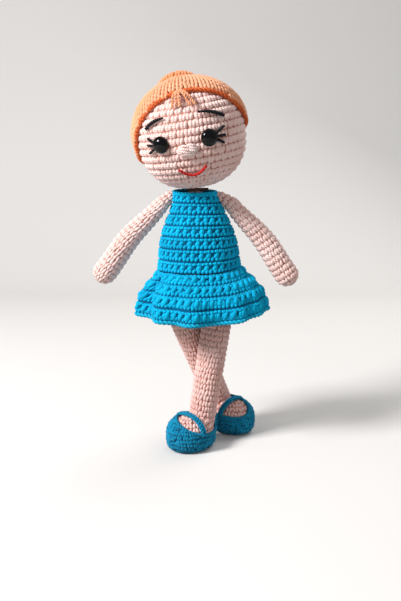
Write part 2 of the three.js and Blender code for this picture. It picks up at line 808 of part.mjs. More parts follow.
function addHead(doll) {
  const pivot = new THREE.Group();
  pivot.name = 'head_pivot';
  pivot.position.set(0, 0, neckPivotHeight);
  doll.add(pivot);
  const head = new THREE.Group();
  head.position.set(headCentreSide, -headCentreForward, headCentreRise);
  head.rotation.set(radians(headNod), radians(headRoll), radians(headTurn), 'ZYX');
  pivot.add(head);

  const opening = columnThrough(neckRadius - skinWall, -headHalfHeight - overrun, -headHalfHeight + overrun);
  const eyes = [['left', leftEye], ['right', rightEye]];
  const holes = eyes.map(([, place]) => postHole(place, eyePostRadius + fit, skinWall + overrun));
  const pockets = eyes.map(([, place]) => washerPocket(place));
  head.add(named('head', cut(headForm(0), headForm(-skinWall), opening, ...holes), 'skin'));
  head.add(named('head_stuffing', cut(headForm(-skinWall - fillingGap, fillingSides, fillingRows), ...pockets), 'filling'));
  for (const [side, place] of eyes) {
    head.add(named(`${side}_eye`, eyeDome(place), 'eye'));
    head.add(named(`${side}_eye_washer`, eyeWasher(place), 'washer'));
    head.add(named(`${side}_eyebrow`, browThread(Math.sign(place.round)), 'black'));
  }
  for (const [side, eye, tips] of [['left', leftEye, leftLashTips], ['right', rightEye, rightLashTips]]) {
    tips.forEach((tip, i) => {
      head.add(named(`${side}_lash_${i + 1}`, lashThread(eye, tip, (1 - i) * lashRootSpread), 'black'));
    });
  }
  head.add(named('nose_stitch', noseStitch(), 'skin'));
  head.add(named('mouth_thread', mouthThread(), 'mouth'));
  head.add(named('hair_cap', hairCap(), 'hair'));
  head.add(named('hair_edging', hairEdging(), 'hair'));
  head.add(named('hair_bun', hairBun(), 'hair'));
  head.add(named('bun_stuffing', bunFilling(), 'filling'));
  fringeTips.forEach((tip, i) => {
    const place = i - (fringeTips.length - 1) / 2;
    head.add(named(`fringe_strand_${i + 1}`, fringeStrand(tip, place), 'hair'));
  });
}

// The whole doll, stood on the floor over the middle of its box

const doll = new THREE.Group();
doll.add(named('torso', torsoSkin(), 'skin'));
doll.add(named('torso_stuffing', torsoForm(-skinWall - fillingGap, fillingSides), 'filling'));
doll.add(named('dress_bodice', dressBodice(), 'dress'));
doll.add(named('dress_skirt', dressSkirt(), 'dress'));
doll.add(named('dress_hem_edging', hemEdging(), 'dress'));
doll.add(named('neck_seam', neckSeam(), 'thread'));
addHead(doll);
addArm(doll, 'left_arm', 1, leftArmDegrees);
addArm(doll, 'right_arm', -1, rightArmDegrees);
addLeg(doll, 'left_leg', 1, leftFoot);
addLeg(doll, 'right_leg', -1, rightFoot);

doll.updateMatrixWorld(true);
const box = new THREE.Box3().setFromObject(doll, true);
doll.position.set(-(box.min.x + box.max.x) / 2, -(box.min.y + box.max.y) / 2, -box.min.z);
doll.updateMatrixWorld(true);

export default doll;
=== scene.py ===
"""Looks of a crocheted doll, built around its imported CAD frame.

Every skin is worked in real stitches: a stitch is a few fat strands of yarn, and rounds of
them are laid over a surface. Sizes are in millimetres and become metres in the meshes.
The doll faces -Y, so its own left side is +X.
"""
import json
import math

import bpy
import numpy as np
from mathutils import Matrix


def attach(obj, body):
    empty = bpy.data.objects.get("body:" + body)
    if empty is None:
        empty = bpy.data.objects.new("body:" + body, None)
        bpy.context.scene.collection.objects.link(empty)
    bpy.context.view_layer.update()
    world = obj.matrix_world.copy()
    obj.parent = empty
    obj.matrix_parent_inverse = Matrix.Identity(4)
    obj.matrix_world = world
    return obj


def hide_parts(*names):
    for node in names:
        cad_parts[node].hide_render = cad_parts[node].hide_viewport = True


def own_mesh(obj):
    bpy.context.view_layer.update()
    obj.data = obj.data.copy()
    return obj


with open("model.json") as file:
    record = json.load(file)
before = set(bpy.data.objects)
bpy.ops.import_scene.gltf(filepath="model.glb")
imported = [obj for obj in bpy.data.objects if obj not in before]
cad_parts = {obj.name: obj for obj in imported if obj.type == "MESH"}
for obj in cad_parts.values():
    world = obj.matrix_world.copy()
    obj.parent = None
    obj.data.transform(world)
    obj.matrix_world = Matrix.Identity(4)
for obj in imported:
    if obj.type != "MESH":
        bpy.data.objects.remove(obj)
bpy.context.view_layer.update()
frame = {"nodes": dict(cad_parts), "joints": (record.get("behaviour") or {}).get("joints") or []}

MM = 0.001
FULL_TURN = 2 * math.pi
SIDES = {"left": 1, "right": -1}     # the doll's own sides and the way in which each lies along X
chance = np.random.default_rng(11)

# Places taken from the frame

joint_place = {joint["name"]: np.array(joint["pos_m"]) / MM for joint in frame["joints"]}
neck_pivot = joint_place["head_tilt"]
body_axis = np.array([neck_pivot[0], neck_pivot[1], 0.0])

# Camera: it stands where the photograph was taken from, looking a little down

CAMERA_PLACE = body_axis + np.array([1.7, -393.9, 150.46])
CAMERA_PITCH = 10.0
FOCAL_PIXELS = 727.0
PICTURE_WIDTH = 401
SENSOR_WIDTH = 36.0
NEAREST_SEEN = 10.0


def make_camera():
    """Pinhole camera: its lens is the focal length in pixels over the picture's width, times the
    sensor's width."""
    data = bpy.data.cameras.new("camera")
    data.sensor_fit = "HORIZONTAL"
    data.sensor_width = SENSOR_WIDTH
    data.lens = FOCAL_PIXELS / PICTURE_WIDTH * SENSOR_WIDTH
    data.clip_start = NEAREST_SEEN * MM
    camera = bpy.data.objects.new("camera", data)
    camera.location = CAMERA_PLACE * MM
    camera.rotation_euler = (math.radians(90 - CAMERA_PITCH), 0, 0)
    bpy.context.scene.collection.objects.link(camera)
    bpy.context.scene.camera = camera


make_camera()

# Materials


def linear(hex_colour):
    """Linear colour of an sRGB hex value such as "efc8b4"."""
    parts = np.array([int(hex_colour[i:i + 2], 16) for i in (0, 2, 4)]) / 255
    low, high = parts / 12.92, ((parts + 0.055) / 1.055) ** 2.4
    return (*np.where(parts <= 0.04045, low, high).tolist(), 1.0)


def add_node(tree, kind, settings=None, **links):
    """Adds a node. A link is a socket, a value, or a (socket or value) by input name or number."""
    node = tree.nodes.new("ShaderNode" + kind)
    for key, value in (settings or {}).items():
        setattr(node, key, value)
    for key, value in links.items():
        socket = node.inputs[int(key[1:])] if key[1:].isdigit() else node.inputs[key.replace("_", " ")]
        if isinstance(value, bpy.types.NodeSocket):
            tree.links.new(value, socket)
        else:
            socket.default_value = value
    return node


def new_material(name, **finish):
    """Material with one shader, whose own sockets take the finish's even values."""
    material = bpy.data.materials.new(name)
    material.use_nodes = True
    tree = material.node_tree
    tree.nodes.clear()
    shader = add_node(tree, "BsdfPrincipled", None, **finish)
    add_node(tree, "OutputMaterial", None, Surface=shader.outputs["BSDF"])
    return material, tree, shader


PLY_PITCH = 1.6        # length of one turn of the yarn's plies
PLY_DEPTH = 0.10       # how far the plies stand out
PLY_SHADE = 0.16       # how much painted shade lies in the hollows between plies
FIBRE = 0.35           # spacing of loose fibres, drawn coarse enough to show
FIBRE_SHADE = 0.5      # how much painted shade lies between fibres
DYE_PATCH = 9.0        # how far apart paler and deeper dyed places lie
FULL_SHADE, FULL_COLOUR = 0.35, 1.1     # sums of dye, plies and fibres that give the two colours


def yarn(name, colour, shade, fuzz=0.35, sheen=0.15):
    """Plied cotton: matte, with slanted plies along each strand, a faint halo of fibres and
    slightly uneven dye. The colour falls towards the shade colour in the hollows between plies
    and fibres, as painted shade. The strand's own UV map holds millimetres along it and turns
    round it. A ply's height is the sine of two full turns for each pitch along and for each turn round."""
    material, tree, shader = new_material(name, Roughness=0.9, Specular_IOR_Level=0.12,
                                          Sheen_Weight=sheen, Sheen_Roughness=0.5)
    strand = add_node(tree, "UVMap", {"uv_map": "strand"})
    parts = add_node(tree, "SeparateXYZ", None, _0=strand.outputs["UV"])
    slant = add_node(tree, "Math", {"operation": "MULTIPLY_ADD"},
                     _0=parts.outputs["X"], _1=1 / PLY_PITCH, _2=parts.outputs["Y"])
    phase = add_node(tree, "Math", {"operation": "MULTIPLY"}, _0=slant.outputs[0], _1=2 * FULL_TURN)
    ply = add_node(tree, "Math", {"operation": "SINE"}, _0=phase.outputs[0])
    place = add_node(tree, "TexCoord").outputs["Object"]
    fibre = add_node(tree, "TexNoise", None, Vector=place, Scale=1 / (FIBRE * MM), Detail=2.0)
    dye = add_node(tree, "TexNoise", None, Vector=place, Scale=1 / (DYE_PATCH * MM), Detail=1.0)
    # painted shade between the plies, added to the uneven dye
    ply_shade_and_dye = add_node(tree, "Math", {"operation": "MULTIPLY_ADD"},
                    _0=ply.outputs[0], _1=PLY_SHADE, _2=dye.outputs["Fac"])
    blend = add_node(tree, "Math", {"operation": "MULTIPLY_ADD", "use_clamp": True},
                     _0=fibre.outputs["Fac"], _1=FIBRE_SHADE, _2=ply_shade_and_dye.outputs[0])
    tone = add_node(tree, "MapRange", None, Value=blend.outputs[0], From_Min=FULL_SHADE, From_Max=FULL_COLOUR)
    mix = add_node(tree, "Mix", {"data_type": "RGBA"},
                   _0=tone.outputs["Result"], _6=linear(shade), _7=linear(colour))
    height = add_node(tree, "Math", {"operation": "MULTIPLY"}, _0=ply.outputs[0], _1=PLY_DEPTH * MM)
    rough = add_node(tree, "Math", {"operation": "MULTIPLY_ADD"},
                     _0=fibre.outputs["Fac"], _1=fuzz * FIBRE * MM, _2=height.outputs[0])
    bump = add_node(tree, "Bump", None, Height=rough.outputs[0], Strength=0.8, Distance=1.0)
    tree.links.new(mix.outputs[2], shader.inputs["Base Color"])
    tree.links.new(bump.outputs["Normal"], shader.inputs["Normal"])
    return material


FLOW_MARKS = 1.5       # spacing of the faint marks that moulding leaves in the gloss


def moulded_plastic(name, colour, roughness):
    """Moulded plastic: one colour, with faint flow marks in the gloss."""
    material, tree, shader = new_material(name, Base_Color=linear(colour), Specular_IOR_Level=0.2)
    place = add_node(tree, "TexCoord").outputs["Object"]
    flow = add_node(tree, "TexNoise", None, Vector=place, Scale=1 / (FLOW_MARKS * MM), Detail=2.0)
    gloss = add_node(tree, "MapRange", None, Value=flow.outputs["Fac"],
                     To_Min=roughness * 0.8, To_Max=roughness * 1.3)
    tree.links.new(gloss.outputs["Result"], shader.inputs["Roughness"])
    return material


# Crochet cotton: matte, each strand plied. The second colour is painted shade in its hollows
skin_cotton = yarn("skin_cotton_yarn", "f8dcd4", "eabfb3")     # pale, with rosy hollows
dress_cotton = yarn("turquoise_cotton_yarn", "00bce6", "0094bc", sheen=0.03)     # clear and strong
hem_cotton = yarn("pale_turquoise_cotton_yarn", "1cb8da", "0692b6", sheen=0.03)     # a touch paler
shoe_cotton = yarn("deep_turquoise_cotton_yarn", "0090b6", "00698c", fuzz=0.6, sheen=0.12)     # fluffy
hair_cotton = yarn("ginger_cotton_yarn", "f2b48e", "e69a6a")     # light and warm
shaded_bun_cotton = yarn("painted_shade_bun_yarn", "f4a576", "e38a55")     # the hair's yarn in a darker copy: painted shade on the lamp-lit bun
edging_cotton = yarn("deep_ginger_cotton_yarn", "e27038", "be5226")     # outlines the hair; its deeper ginger is painted shade along the hairline
shaded_leg_cotton = yarn("painted_warm_shade_leg_yarn", "f2cec5", "dfaca0")     # the face's yarn in a rosier, darker copy: painted warm shade under the skirt
# Embroidery cotton: thinner and smoother, one flat colour to the eye
black_cotton = yarn("black_embroidery_cotton", "1b1b20", "0c0c10")
red_cotton = yarn("red_embroidery_cotton", "dc2a20", "ad1410")
nose_cotton = yarn("pale_embroidery_cotton", "f4ddd6", "e6c4bb")
# Sewing cotton of the joins, coloured dark brown as painted shadow: it reads as a dark line between chin and
# collar
shadow_brown_sewing_cotton = yarn("brown_sewing_cotton", "6a483e", "452c26")
# The cloth seen between stitches is the same yarn in a darker colour, painted shade, as it never catches the
# light
painted_gap_shade = {
    skin_cotton.name: yarn("skin_cotton_gaps", "ba8576", "a26d60", sheen=0.0),
    shaded_leg_cotton.name: yarn("painted_warm_shade_leg_gaps", "c4816e", "ab6b59", sheen=0.0),
    dress_cotton.name: yarn("turquoise_cotton_gaps", "005c80", "00486a", sheen=0.0),
    shoe_cotton.name: yarn("deep_turquoise_cotton_gaps", "0078a0", "005e82", sheen=0.0),
    hair_cotton.name: yarn("ginger_cotton_gaps", "e2935f", "cd7a48", sheen=0.0),
    shaded_bun_cotton.name: yarn("painted_shade_bun_gaps", "d6834f", "bd6c3a", sheen=0.0),
}
# Polished acrylic gives the eyes their sharp highlight, and polythene leaves the washers dull
eye_acrylic = moulded_plastic("polished_black_acrylic", "050507", 0.05)
washer_polythene = moulded_plastic("polythene", "d8d8d4", 0.45)

# Meshes


def unit(vectors):
    """Vectors over their own lengths."""
    return vectors / np.maximum(np.linalg.norm(vectors, axis=-1, keepdims=True), 1e-12)


def turns_round(count):
    """Equal steps of one full turn."""
    return np.arange(count) / count * FULL_TURN


def length_along(points):
    """Length of the straight pieces up to each point of a path."""
    return np.concatenate([[0], np.cumsum(np.linalg.norm(np.diff(points, axis=0), axis=1))])


def halved(holds, near, far):
    """Where a test that holds at the near place stops holding, by halving the span thirty times."""
    for _ in range(30):
        middle = (near + far) / 2
        held = holds(middle)
        near, far = np.where(held, middle, near), np.where(held, far, middle)
    return near


def joined(shapes):
    """One shape from several. A shape is (points, face arrays, strand coordinates per corner)."""
    points, faces, strands, start = [], [], [], 0
    for shape_points, shape_faces, shape_strands in shapes:
        points.append(shape_points.reshape(-1, 3))
        faces += [face + start for face in shape_faces]
        strands += shape_strands
        start += len(points[-1])
    return np.concatenate(points), faces, strands


def make_piece(name, shapes, material, body, cloths=0):
    """Puts shapes into one mesh object, in metres, that rides on a body. The first few shapes may
    be cloth under the stitches, which takes the yarn's darker gap colour, a painted shade."""
    points, faces, strands = joined(shapes)
    cloth_faces = sum(len(face) for shape in shapes[:cloths] for face in shape[1])
    corners = np.concatenate([face.ravel() for face in faces])
    sizes = np.concatenate([np.full(len(face), face.shape[1]) for face in faces])
    mesh = bpy.data.meshes.new(name)
    mesh.vertices.add(len(points))
    mesh.vertices.foreach_set("co", (points * MM).astype(np.float32).ravel())
    mesh.loops.add(len(corners))
    mesh.loops.foreach_set("vertex_index", corners.astype(np.int32))
    mesh.polygons.add(len(sizes))
    mesh.polygons.foreach_set("loop_start", np.concatenate([[0], np.cumsum(sizes)[:-1]]).astype(np.int32))
    mesh.polygons.foreach_set("use_smooth", np.ones(len(sizes), bool))
    mesh.update(calc_edges=True)
    places = np.concatenate([strand.reshape(-1, 2) for strand in strands])
    mesh.uv_layers.new(name="strand").data.foreach_set("uv", places.astype(np.float32).ravel())
    mesh.materials.append(material)
    if cloths:
        # the cloth under the stitches takes the darker gap material: painted shade
        mesh.materials.append(painted_gap_shade[material.name])
        mesh.polygons.foreach_set("material_index", (np.arange(len(sizes)) < cloth_faces).astype(np.int32))
    piece = bpy.data.objects.new(name, mesh)
    bpy.context.scene.collection.objects.link(piece)
    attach(piece, body)
    return piece


def no_strands(faces):
    """Strand coordinates of faces that have no strand: all zero."""
    return [np.zeros((len(face), face.shape[1], 2)) for face in faces]


def grid_faces(rows, columns, close_rows=False, close_columns=True):
    """Quads of a grid of points, in order of rows."""
    i, k = np.meshgrid(np.arange(rows if close_rows else rows - 1),
                       np.arange(columns if close_columns else columns - 1), indexing="ij")
    up, right = (i + 1) % rows, (k + 1) % columns
    return np.stack([i * columns + k, i * columns + right,
                     up * columns + right, up * columns + k], -1).reshape(-1, 4)


def closed_wall(grids):
    """Closed shell of grids of rings, one after another, its last ring joined to its first."""
    points = np.concatenate(grids)
    faces = [grid_faces(*points.shape[:2], close_rows=True)]
    return points.reshape(-1, 3), faces, no_strands(faces)


def axes_along(path, outward, closed):
    """Two directions square to each other and to the path at each point: the first leans
    outward, and the second is the cross product of the way ahead and outward."""
    ahead = np.roll(path, -1, 0) - np.roll(path, 1, 0) if closed else np.gradient(path, axis=0)
    tangent = unit(ahead)
    side = unit(np.cross(tangent, np.broadcast_to(outward, path.shape)))
    return np.cross(side, tangent), side


def tube(path, radii, outward, sides=6, closed=False, along=None):
    """Tube along a path. Each cross-section is a circle square to the path, measured from an
    outward direction. Open tubes end in flat faces."""
    path = np.asarray(path, float)
    count = len(path)
    radii = np.broadcast_to(radii, count)
    out, side = axes_along(path, outward, closed)
    angle = turns_round(sides)[None, :, None]
    ring = np.cos(angle) * out[:, None] + np.sin(angle) * side[:, None]
    points = path[:, None] + radii[:, None, None] * ring
    quads = grid_faces(count, sides, close_rows=closed)
    along = length_along(path) if along is None else along
    i, k = quads[:, 0] // sides, quads[:, 0] % sides
    low, high = along[i], np.append(along, along[-1] + PLY_PITCH)[i + 1]
    strands = np.stack([np.stack([low, low, high, high], -1),
                        np.stack([k, k + 1, k + 1, k], -1) / sides], -1)
    faces, maps = [quads], [strands]
    if not closed:
        ends = np.array([np.arange(sides)[::-1], (count - 1) * sides + np.arange(sides)])
        faces.append(ends)
        maps += no_strands([ends])
    return points.reshape(-1, 3), faces, maps


def smooth_path(points, count):
    """Catmull-Rom curve through points, read at evenly spaced parameters."""
    points = np.asarray(points, float)
    spot = np.linspace(0, len(points) - 1, count)
    index = np.minimum(spot.astype(int), len(points) - 2)
    t = (spot - index)[:, None]
    p0, p1 = points[np.maximum(index - 1, 0)], points[index]
    p2, p3 = points[index + 1], points[np.minimum(index + 2, len(points) - 1)]
    v0, v1 = (p2 - p0) / 2, (p3 - p1) / 2
    return (2 * p1 - 2 * p2 + v0 + v1) * t ** 3 + (3 * p2 - 3 * p1 - 2 * v0 - v1) * t ** 2 + v0 * t + p1


PLIES = 2
PLY_OFFSET, PLY_RADIUS = 0.46, 0.58     # of the thread's radius


def plied(path, radius, outward, pitch, closed=False, taper=1.0):
    """Plies wound round one another: each runs beside the path, turning round it once a pitch.
    On a closed path the pitch is evened out to whole turns."""
    path = np.asarray(path, float)
    out, side = axes_along(path, outward, closed)
    step = np.linalg.norm(np.roll(path, -1, 0) - path, axis=1)
    length = np.concatenate([[0], np.cumsum(step)])
    turns = length[:-1] / pitch
    if closed:
        turns = length[:-1] / length[-1] * max(1, round(length[-1] / pitch))
    thickness = radius * taper * np.ones(len(path))
    shapes = []
    for ply in range(PLIES):
        angle = ((turns + ply / PLIES) * FULL_TURN)[:, None]
        offset = np.cos(angle) * out + np.sin(angle) * side
        shapes.append(tube(path + offset * (PLY_OFFSET * thickness)[:, None], PLY_RADIUS * thickness, outward,
                           closed=closed, along=length[:-1]))
    return shapes


# Surfaces: a function of the turn round and the length along, upwards


class Surface:
    """Points at a turn in radians and a length along in millimetres, outward being the cross
    product of the two directions."""

    def __init__(self, at, length):
        self.at = at
        self.length = length

    def raised(self, turn, along, height):
        """Points at a height above the surface, along its normal from two small steps."""
        small_turn, small_length = 0.004, 0.1
        point = self.at(turn, along)
        across = self.at(turn + small_turn, along) - self.at(turn - small_turn, along)
        up = self.at(turn, along + small_length) - self.at(turn, along - small_length)
        return point + unit(np.cross(across, up)) * np.asarray(height)[..., None]

    def girth(self, along):
        """Length round the surface at each length along."""
        turn = np.linspace(0, FULL_TURN, 97)
        ring = self.at(turn[None], np.asarray(along, float)[:, None])
        return np.linalg.norm(np.diff(ring, axis=1), axis=2).sum(1)


def lathe(profile, turned, origin, depth=1.0):
    """Profile of (radius, height) pairs, read by its own length, turned about Z with its depth
    scaled, then turned and moved into place."""
    profile = np.asarray(profile, float)
    length = length_along(profile)

    def at(turn, along):
        radius = np.interp(along, length, profile[:, 0])
        height = np.interp(along, length, profile[:, 1])
        local = np.stack([radius * np.sin(turn), -depth * radius * np.cos(turn), height + 0 * turn], -1)
        return local @ turned.T + origin

    return Surface(at, length[-1])


def rotation(axis, degrees):
    """Rotation matrix about x, y or z."""
    c, s = math.cos(math.radians(degrees)), math.sin(math.radians(degrees))
    i, j = {"x": (1, 2), "y": (2, 0), "z": (0, 1)}[axis]
    matrix = np.eye(3)
    matrix[i, i] = matrix[j, j] = c
    matrix[i, j], matrix[j, i] = -s, s
    return matrix


def turn_between(start, end):
    """Rotation that turns one unit vector into another about their common normal."""
    start, end = unit(np.asarray(start, float)), unit(np.asarray(end, float))
    v, c = np.cross(start, end), start @ end
    cross = np.array([[0, -v[2], v[1]], [v[2], 0, -v[0]], [-v[1], v[0], 0]])
    return np.eye(3) + cross + cross @ cross / (1 + c)


UPRIGHT = np.eye(3)
PROUD = 0.35           # how far the crests of the yarn stand over the CAD surface


def round_outline(half_width, half_height, low_power, high_power):
    """Half of a superellipse from its lower to its upper pole, its two powers meeting halfway."""
    angle = np.linspace(-math.pi / 2, math.pi / 2, 241)
    power = np.where(angle < 0, low_power, high_power)
    radius = half_width * np.maximum(np.cos(angle), 0) ** (2 / power)
    height = half_height * np.sign(angle) * np.abs(np.sin(angle)) ** (2 / power)
    return np.stack([radius, height], -1)


def skin(surface, height=-0.75, columns=64, rows=48):
    """Closed cloth under the stitches, about as deep as their middle, with its ends closed."""
    margin = 0.25
    turn, along = np.meshgrid(turns_round(columns), np.linspace(margin, surface.length - margin, rows))
    points = surface.raised(turn, along, height)
    faces = [grid_faces(rows, columns),
             np.array([np.arange(columns)[::-1], (rows - 1) * columns + np.arange(columns)])]
    return points.reshape(-1, 3), faces, no_strands(faces)


# Stitches

# A strand's share of its radius at its ends, and what it gains by its middle, growing as half a
# sine wave to a power
STRAND_END, STRAND_SWELL, STRAND_POWER = 0.55, 0.45, 0.7


def stitch(strands, width):
    """One stitch seen from outside. A strand is (start, end, radius, bulge, sink): it runs from
    start to end (across in widths, up in mm), bulges outwards in the middle and sinks at its
    ends, by half a sine wave, and is thickest in the middle."""
    share = np.linspace(0, 1, 5)
    swell = np.sin(share * math.pi)
    tubes = []
    for start, end, radius, bulge, sink in strands:
        first = np.array([start[0] * width, start[1], 0.0])
        last = np.array([end[0] * width, end[1], 0.0])
        path = first + (last - first) * share[:, None]
        path[:, 2] = bulge * swell - sink * (1 - swell)
        tubes.append(tube(path, radius * (STRAND_END + STRAND_SWELL * swell ** STRAND_POWER), (0, 0, 1)))
    offsets, faces, maps = joined(tubes)
    return offsets / [width, 1, 1], faces, maps


def rounds_over(surface, width, height, low=0.0, high=None, least=5):
    """Rounds one stitch apart over a stretch of the surface: where each lies, how many stitches
    fit round it, and the turn at which it starts."""
    high = surface.length if high is None else high
    count = max(1, round((high - low) / height))
    along = low + (np.arange(count) + 0.5) * (high - low) / count
    number = np.maximum(least, np.round(surface.girth(along) / width)).astype(int)
    return along, number, chance.random(count)


EDGE_ROOM = 0.3        # stitches keep this far from a surface's ends


def crochet(surface, rounds, one_stitch, keep=None, lean=0.0, wander=0.05, lift=0.0, loose=0.0):
    """Lays the stitch at every place of every round, bent over the surface. Each stitch varies a
    little in place and size, and loose stitches stray up and down by some millimetres. keep picks
    the stitches by their middle points."""
    offsets, faces, maps = one_stitch
    along, number, start = rounds
    pitch = np.repeat(FULL_TURN / number, number)
    order = np.concatenate([np.arange(n) for n in number])
    turn = (order + np.repeat(start, number)) * pitch
    level = np.repeat(along, number)
    if keep is not None:
        kept = keep(surface.at(turn, level))
        turn, level, pitch = turn[kept], level[kept], pitch[kept]
    count = len(turn)
    vary = chance.normal(0, wander, (count, 4, 1))
    across = offsets[None, :, 0] * (1 + vary[:, 0]) + vary[:, 1] + lean * offsets[None, :, 1]
    up = offsets[None, :, 1] * (1 + vary[:, 2]) + loose * vary[:, 3] / wander
    out = offsets[None, :, 2] * (1 + vary[:, 3]) + lift
    along_all = np.clip(level[:, None] + up, EDGE_ROOM, surface.length - EDGE_ROOM)
    points = surface.raised(turn[:, None] + pitch[:, None] * across, along_all, out)
    shift = (np.arange(count) * len(offsets))[:, None, None]
    slide = chance.random((count, 1, 1, 1)) * [PLY_PITCH, 1]
    return (points.reshape(-1, 3),
            [(face[None] + shift).reshape(-1, face.shape[1]) for face in faces],
            [(strand[None] + slide).reshape(-1, strand.shape[1], 2) for strand in maps])


def single_crochet(width, height, radius, bulge=0.35, reach=0.5, foot=0.17):
    """Two strands of one stitch, close together at the foot and apart at the top. Their crests
    stand a third of a millimetre over the surface, which their roots lie well under. reach is how
    far a strand runs up and down from its middle, in row heights, and foot how far its lower end
    lies from the stitch's middle, in widths."""
    crest, top = PROUD - radius, 0.33
    strands = [((side * top, reach * height), (side * foot, -reach * height), radius, crest, bulge - crest)
               for side in (-1, 1)]
    return stitch(strands, width)


def worked(surface, size, bulge=0.35, reach=0.5, foot=0.17, **laying):
    """Single crochet of one width, height and yarn radius all over a surface."""
    rounds = rounds_over(surface, *size[:2])
    return crochet(surface, rounds, single_crochet(*size, bulge, reach, foot), **laying)


# Head form and places on it

HEAD_WIDTH, HEAD_HEIGHT = 28.6, 27.2
CROWN_POWER, CHIN_POWER = 2.05, 2.35
head_centre = neck_pivot + np.array([-3.1, -4.0, 27.4])
head_rotation = rotation("z", -8) @ rotation("y", -9) @ rotation("x", 8)


def over_head(direction, lift):
    """Point over the head, in its own frame: the superellipsoid's reach in a direction plus lift."""
    direction = np.asarray(direction, float)
    power = np.where(direction[..., 2] > 0, CROWN_POWER, CHIN_POWER)
    level = np.hypot(direction[..., 0], direction[..., 1]) / HEAD_WIDTH
    rise = np.abs(direction[..., 2]) / HEAD_HEIGHT
    reach = (level ** power + rise ** power) ** (-1 / power)
    return direction * (reach + lift)[..., None]


def on_head(points):
    """Points of the head's own frame in the row frame."""
    return points @ head_rotation.T + head_centre


def face_direction(round_, up):
    """Unit direction at degrees round from the middle of the face and up from the head's middle."""
    azimuth, height = np.radians(round_), np.radians(up)
    return np.stack([np.sin(azimuth) * np.cos(height), -np.cos(azimuth) * np.cos(height),
                     np.sin(height) + 0 * azimuth], -1)


def on_face(round_, up, lift):
    """Places on the face, by their degrees round and up and their height over the surface."""
    return on_head(over_head(face_direction(np.asarray(round_, float), np.asarray(up, float)), lift))


head_outline = round_outline(HEAD_WIDTH - 0.2, HEAD_HEIGHT, CHIN_POWER, CROWN_POWER)
head_surface = lathe(head_outline, head_rotation, head_centre)

# Hairline, as in the CAD: the softened lesser of two plane distances

FRONT_NORMAL, FRONT_DISTANCE = np.array([-0.16, 0.836, 0.524]), 2.2
NAPE_NORMAL, NAPE_DISTANCE = np.array([-0.2, 0.31, 0.93]), 1.8
HAIRLINE_SOFTNESS = 2.0
CAP_LIFT = 1.3


def inside_hairline(points):
    """How far behind the hairline points of the head's frame lie: the lesser of two distances,
    less half the softness times e to the minus (their difference over the softness)."""
    front = points @ FRONT_NORMAL + FRONT_DISTANCE
    nape = points @ NAPE_NORMAL + NAPE_DISTANCE
    return np.minimum(front, nape) - HAIRLINE_SOFTNESS * np.exp(-np.abs(front - nape) / HAIRLINE_SOFTNESS) / 2


def head_frame(points):
    """Points of the row frame in the head's own frame."""
    return (points - head_centre) @ head_rotation


crown = unit(np.array([-0.05, 0.62, 0.78]))
crown_side = unit(np.array([1.0, 0, 0]) - crown * crown[0])
crown_front = np.cross(crown_side, crown)


def hair_direction(turn, down):
    """Unit direction at a turn round the crown and an angle down from it."""
    turn, down = np.asarray(turn)[..., None], np.asarray(down)[..., None]
    return crown * np.cos(down) + np.sin(down) * (crown_side * np.cos(turn) + crown_front * np.sin(turn))


def hairline_angle(turn, lift, past=0.0):
    """Angle down from the crown at which the hairline is met."""
    return halved(lambda angle: inside_hairline(over_head(hair_direction(turn, angle), lift)) > -past,
                  np.zeros_like(turn), np.full_like(turn, math.pi))


# Head

FACE_STITCH = 4.0, 3.9, 1.3     # width, height and yarn radius of a stitch, as in the other sizes below
UNDER_HAIR = 2.5                # the face's stitches go on this far under the cap


def make_head():
    """Head: cloth and large stitches over the ball, left out where the cap hides them."""
    stitches = worked(head_surface, FACE_STITCH, bulge=0.7, reach=0.495, foot=0.1, lean=0.035, wander=0.045,
                      keep=lambda p: inside_hairline(head_frame(p)) < UNDER_HAIR)
    head = make_piece("head_skin", [skin(head_surface), stitches], skin_cotton, "head", cloths=1)
    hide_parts("head", "head_stuffing")


THINNED = 9.0          # the cap thins towards its edge over this length
THINNEST = 0.35        # to this share of its height
CAP_REACH = 0.8        # its surface is measured over this share of the way from pole to pole


def hair_surface(lift):
    """Cap surface by turn round the crown and length up towards it. Its height over the head
    grows evenly with the distance from the hairline."""
    reach = HEAD_WIDTH + lift
    length = math.pi * reach * CAP_REACH

    def at(turn, along):
        down = (length - np.asarray(along)) / reach
        direction = hair_direction(turn, down + 0 * turn)
        inside = inside_hairline(over_head(direction, 0.0))
        return on_head(over_head(direction, lift * np.clip(THINNEST + inside / THINNED, THINNEST, 1)))

    return Surface(at, length)


HAIR_RIB, HAIR_STEP, HAIR_YARN = 4.2, 2.9, 1.1
HAIR_OVERLAP = 1.2     # a rib's stitches are this much longer than their step
CAP_CLOTH = 0.8        # the cap's cloth lies this far under its stitches' surface
CAP_LINING = 0.3       # and its inner side this far over the head
CAP_PAST = 0.6         # the ribs end this far past the hairline
CAP_START = 6.0        # and start this far from the crown
CAP_POLE = 0.02        # the cloth starts at this share of the hairline's angle, almost a point


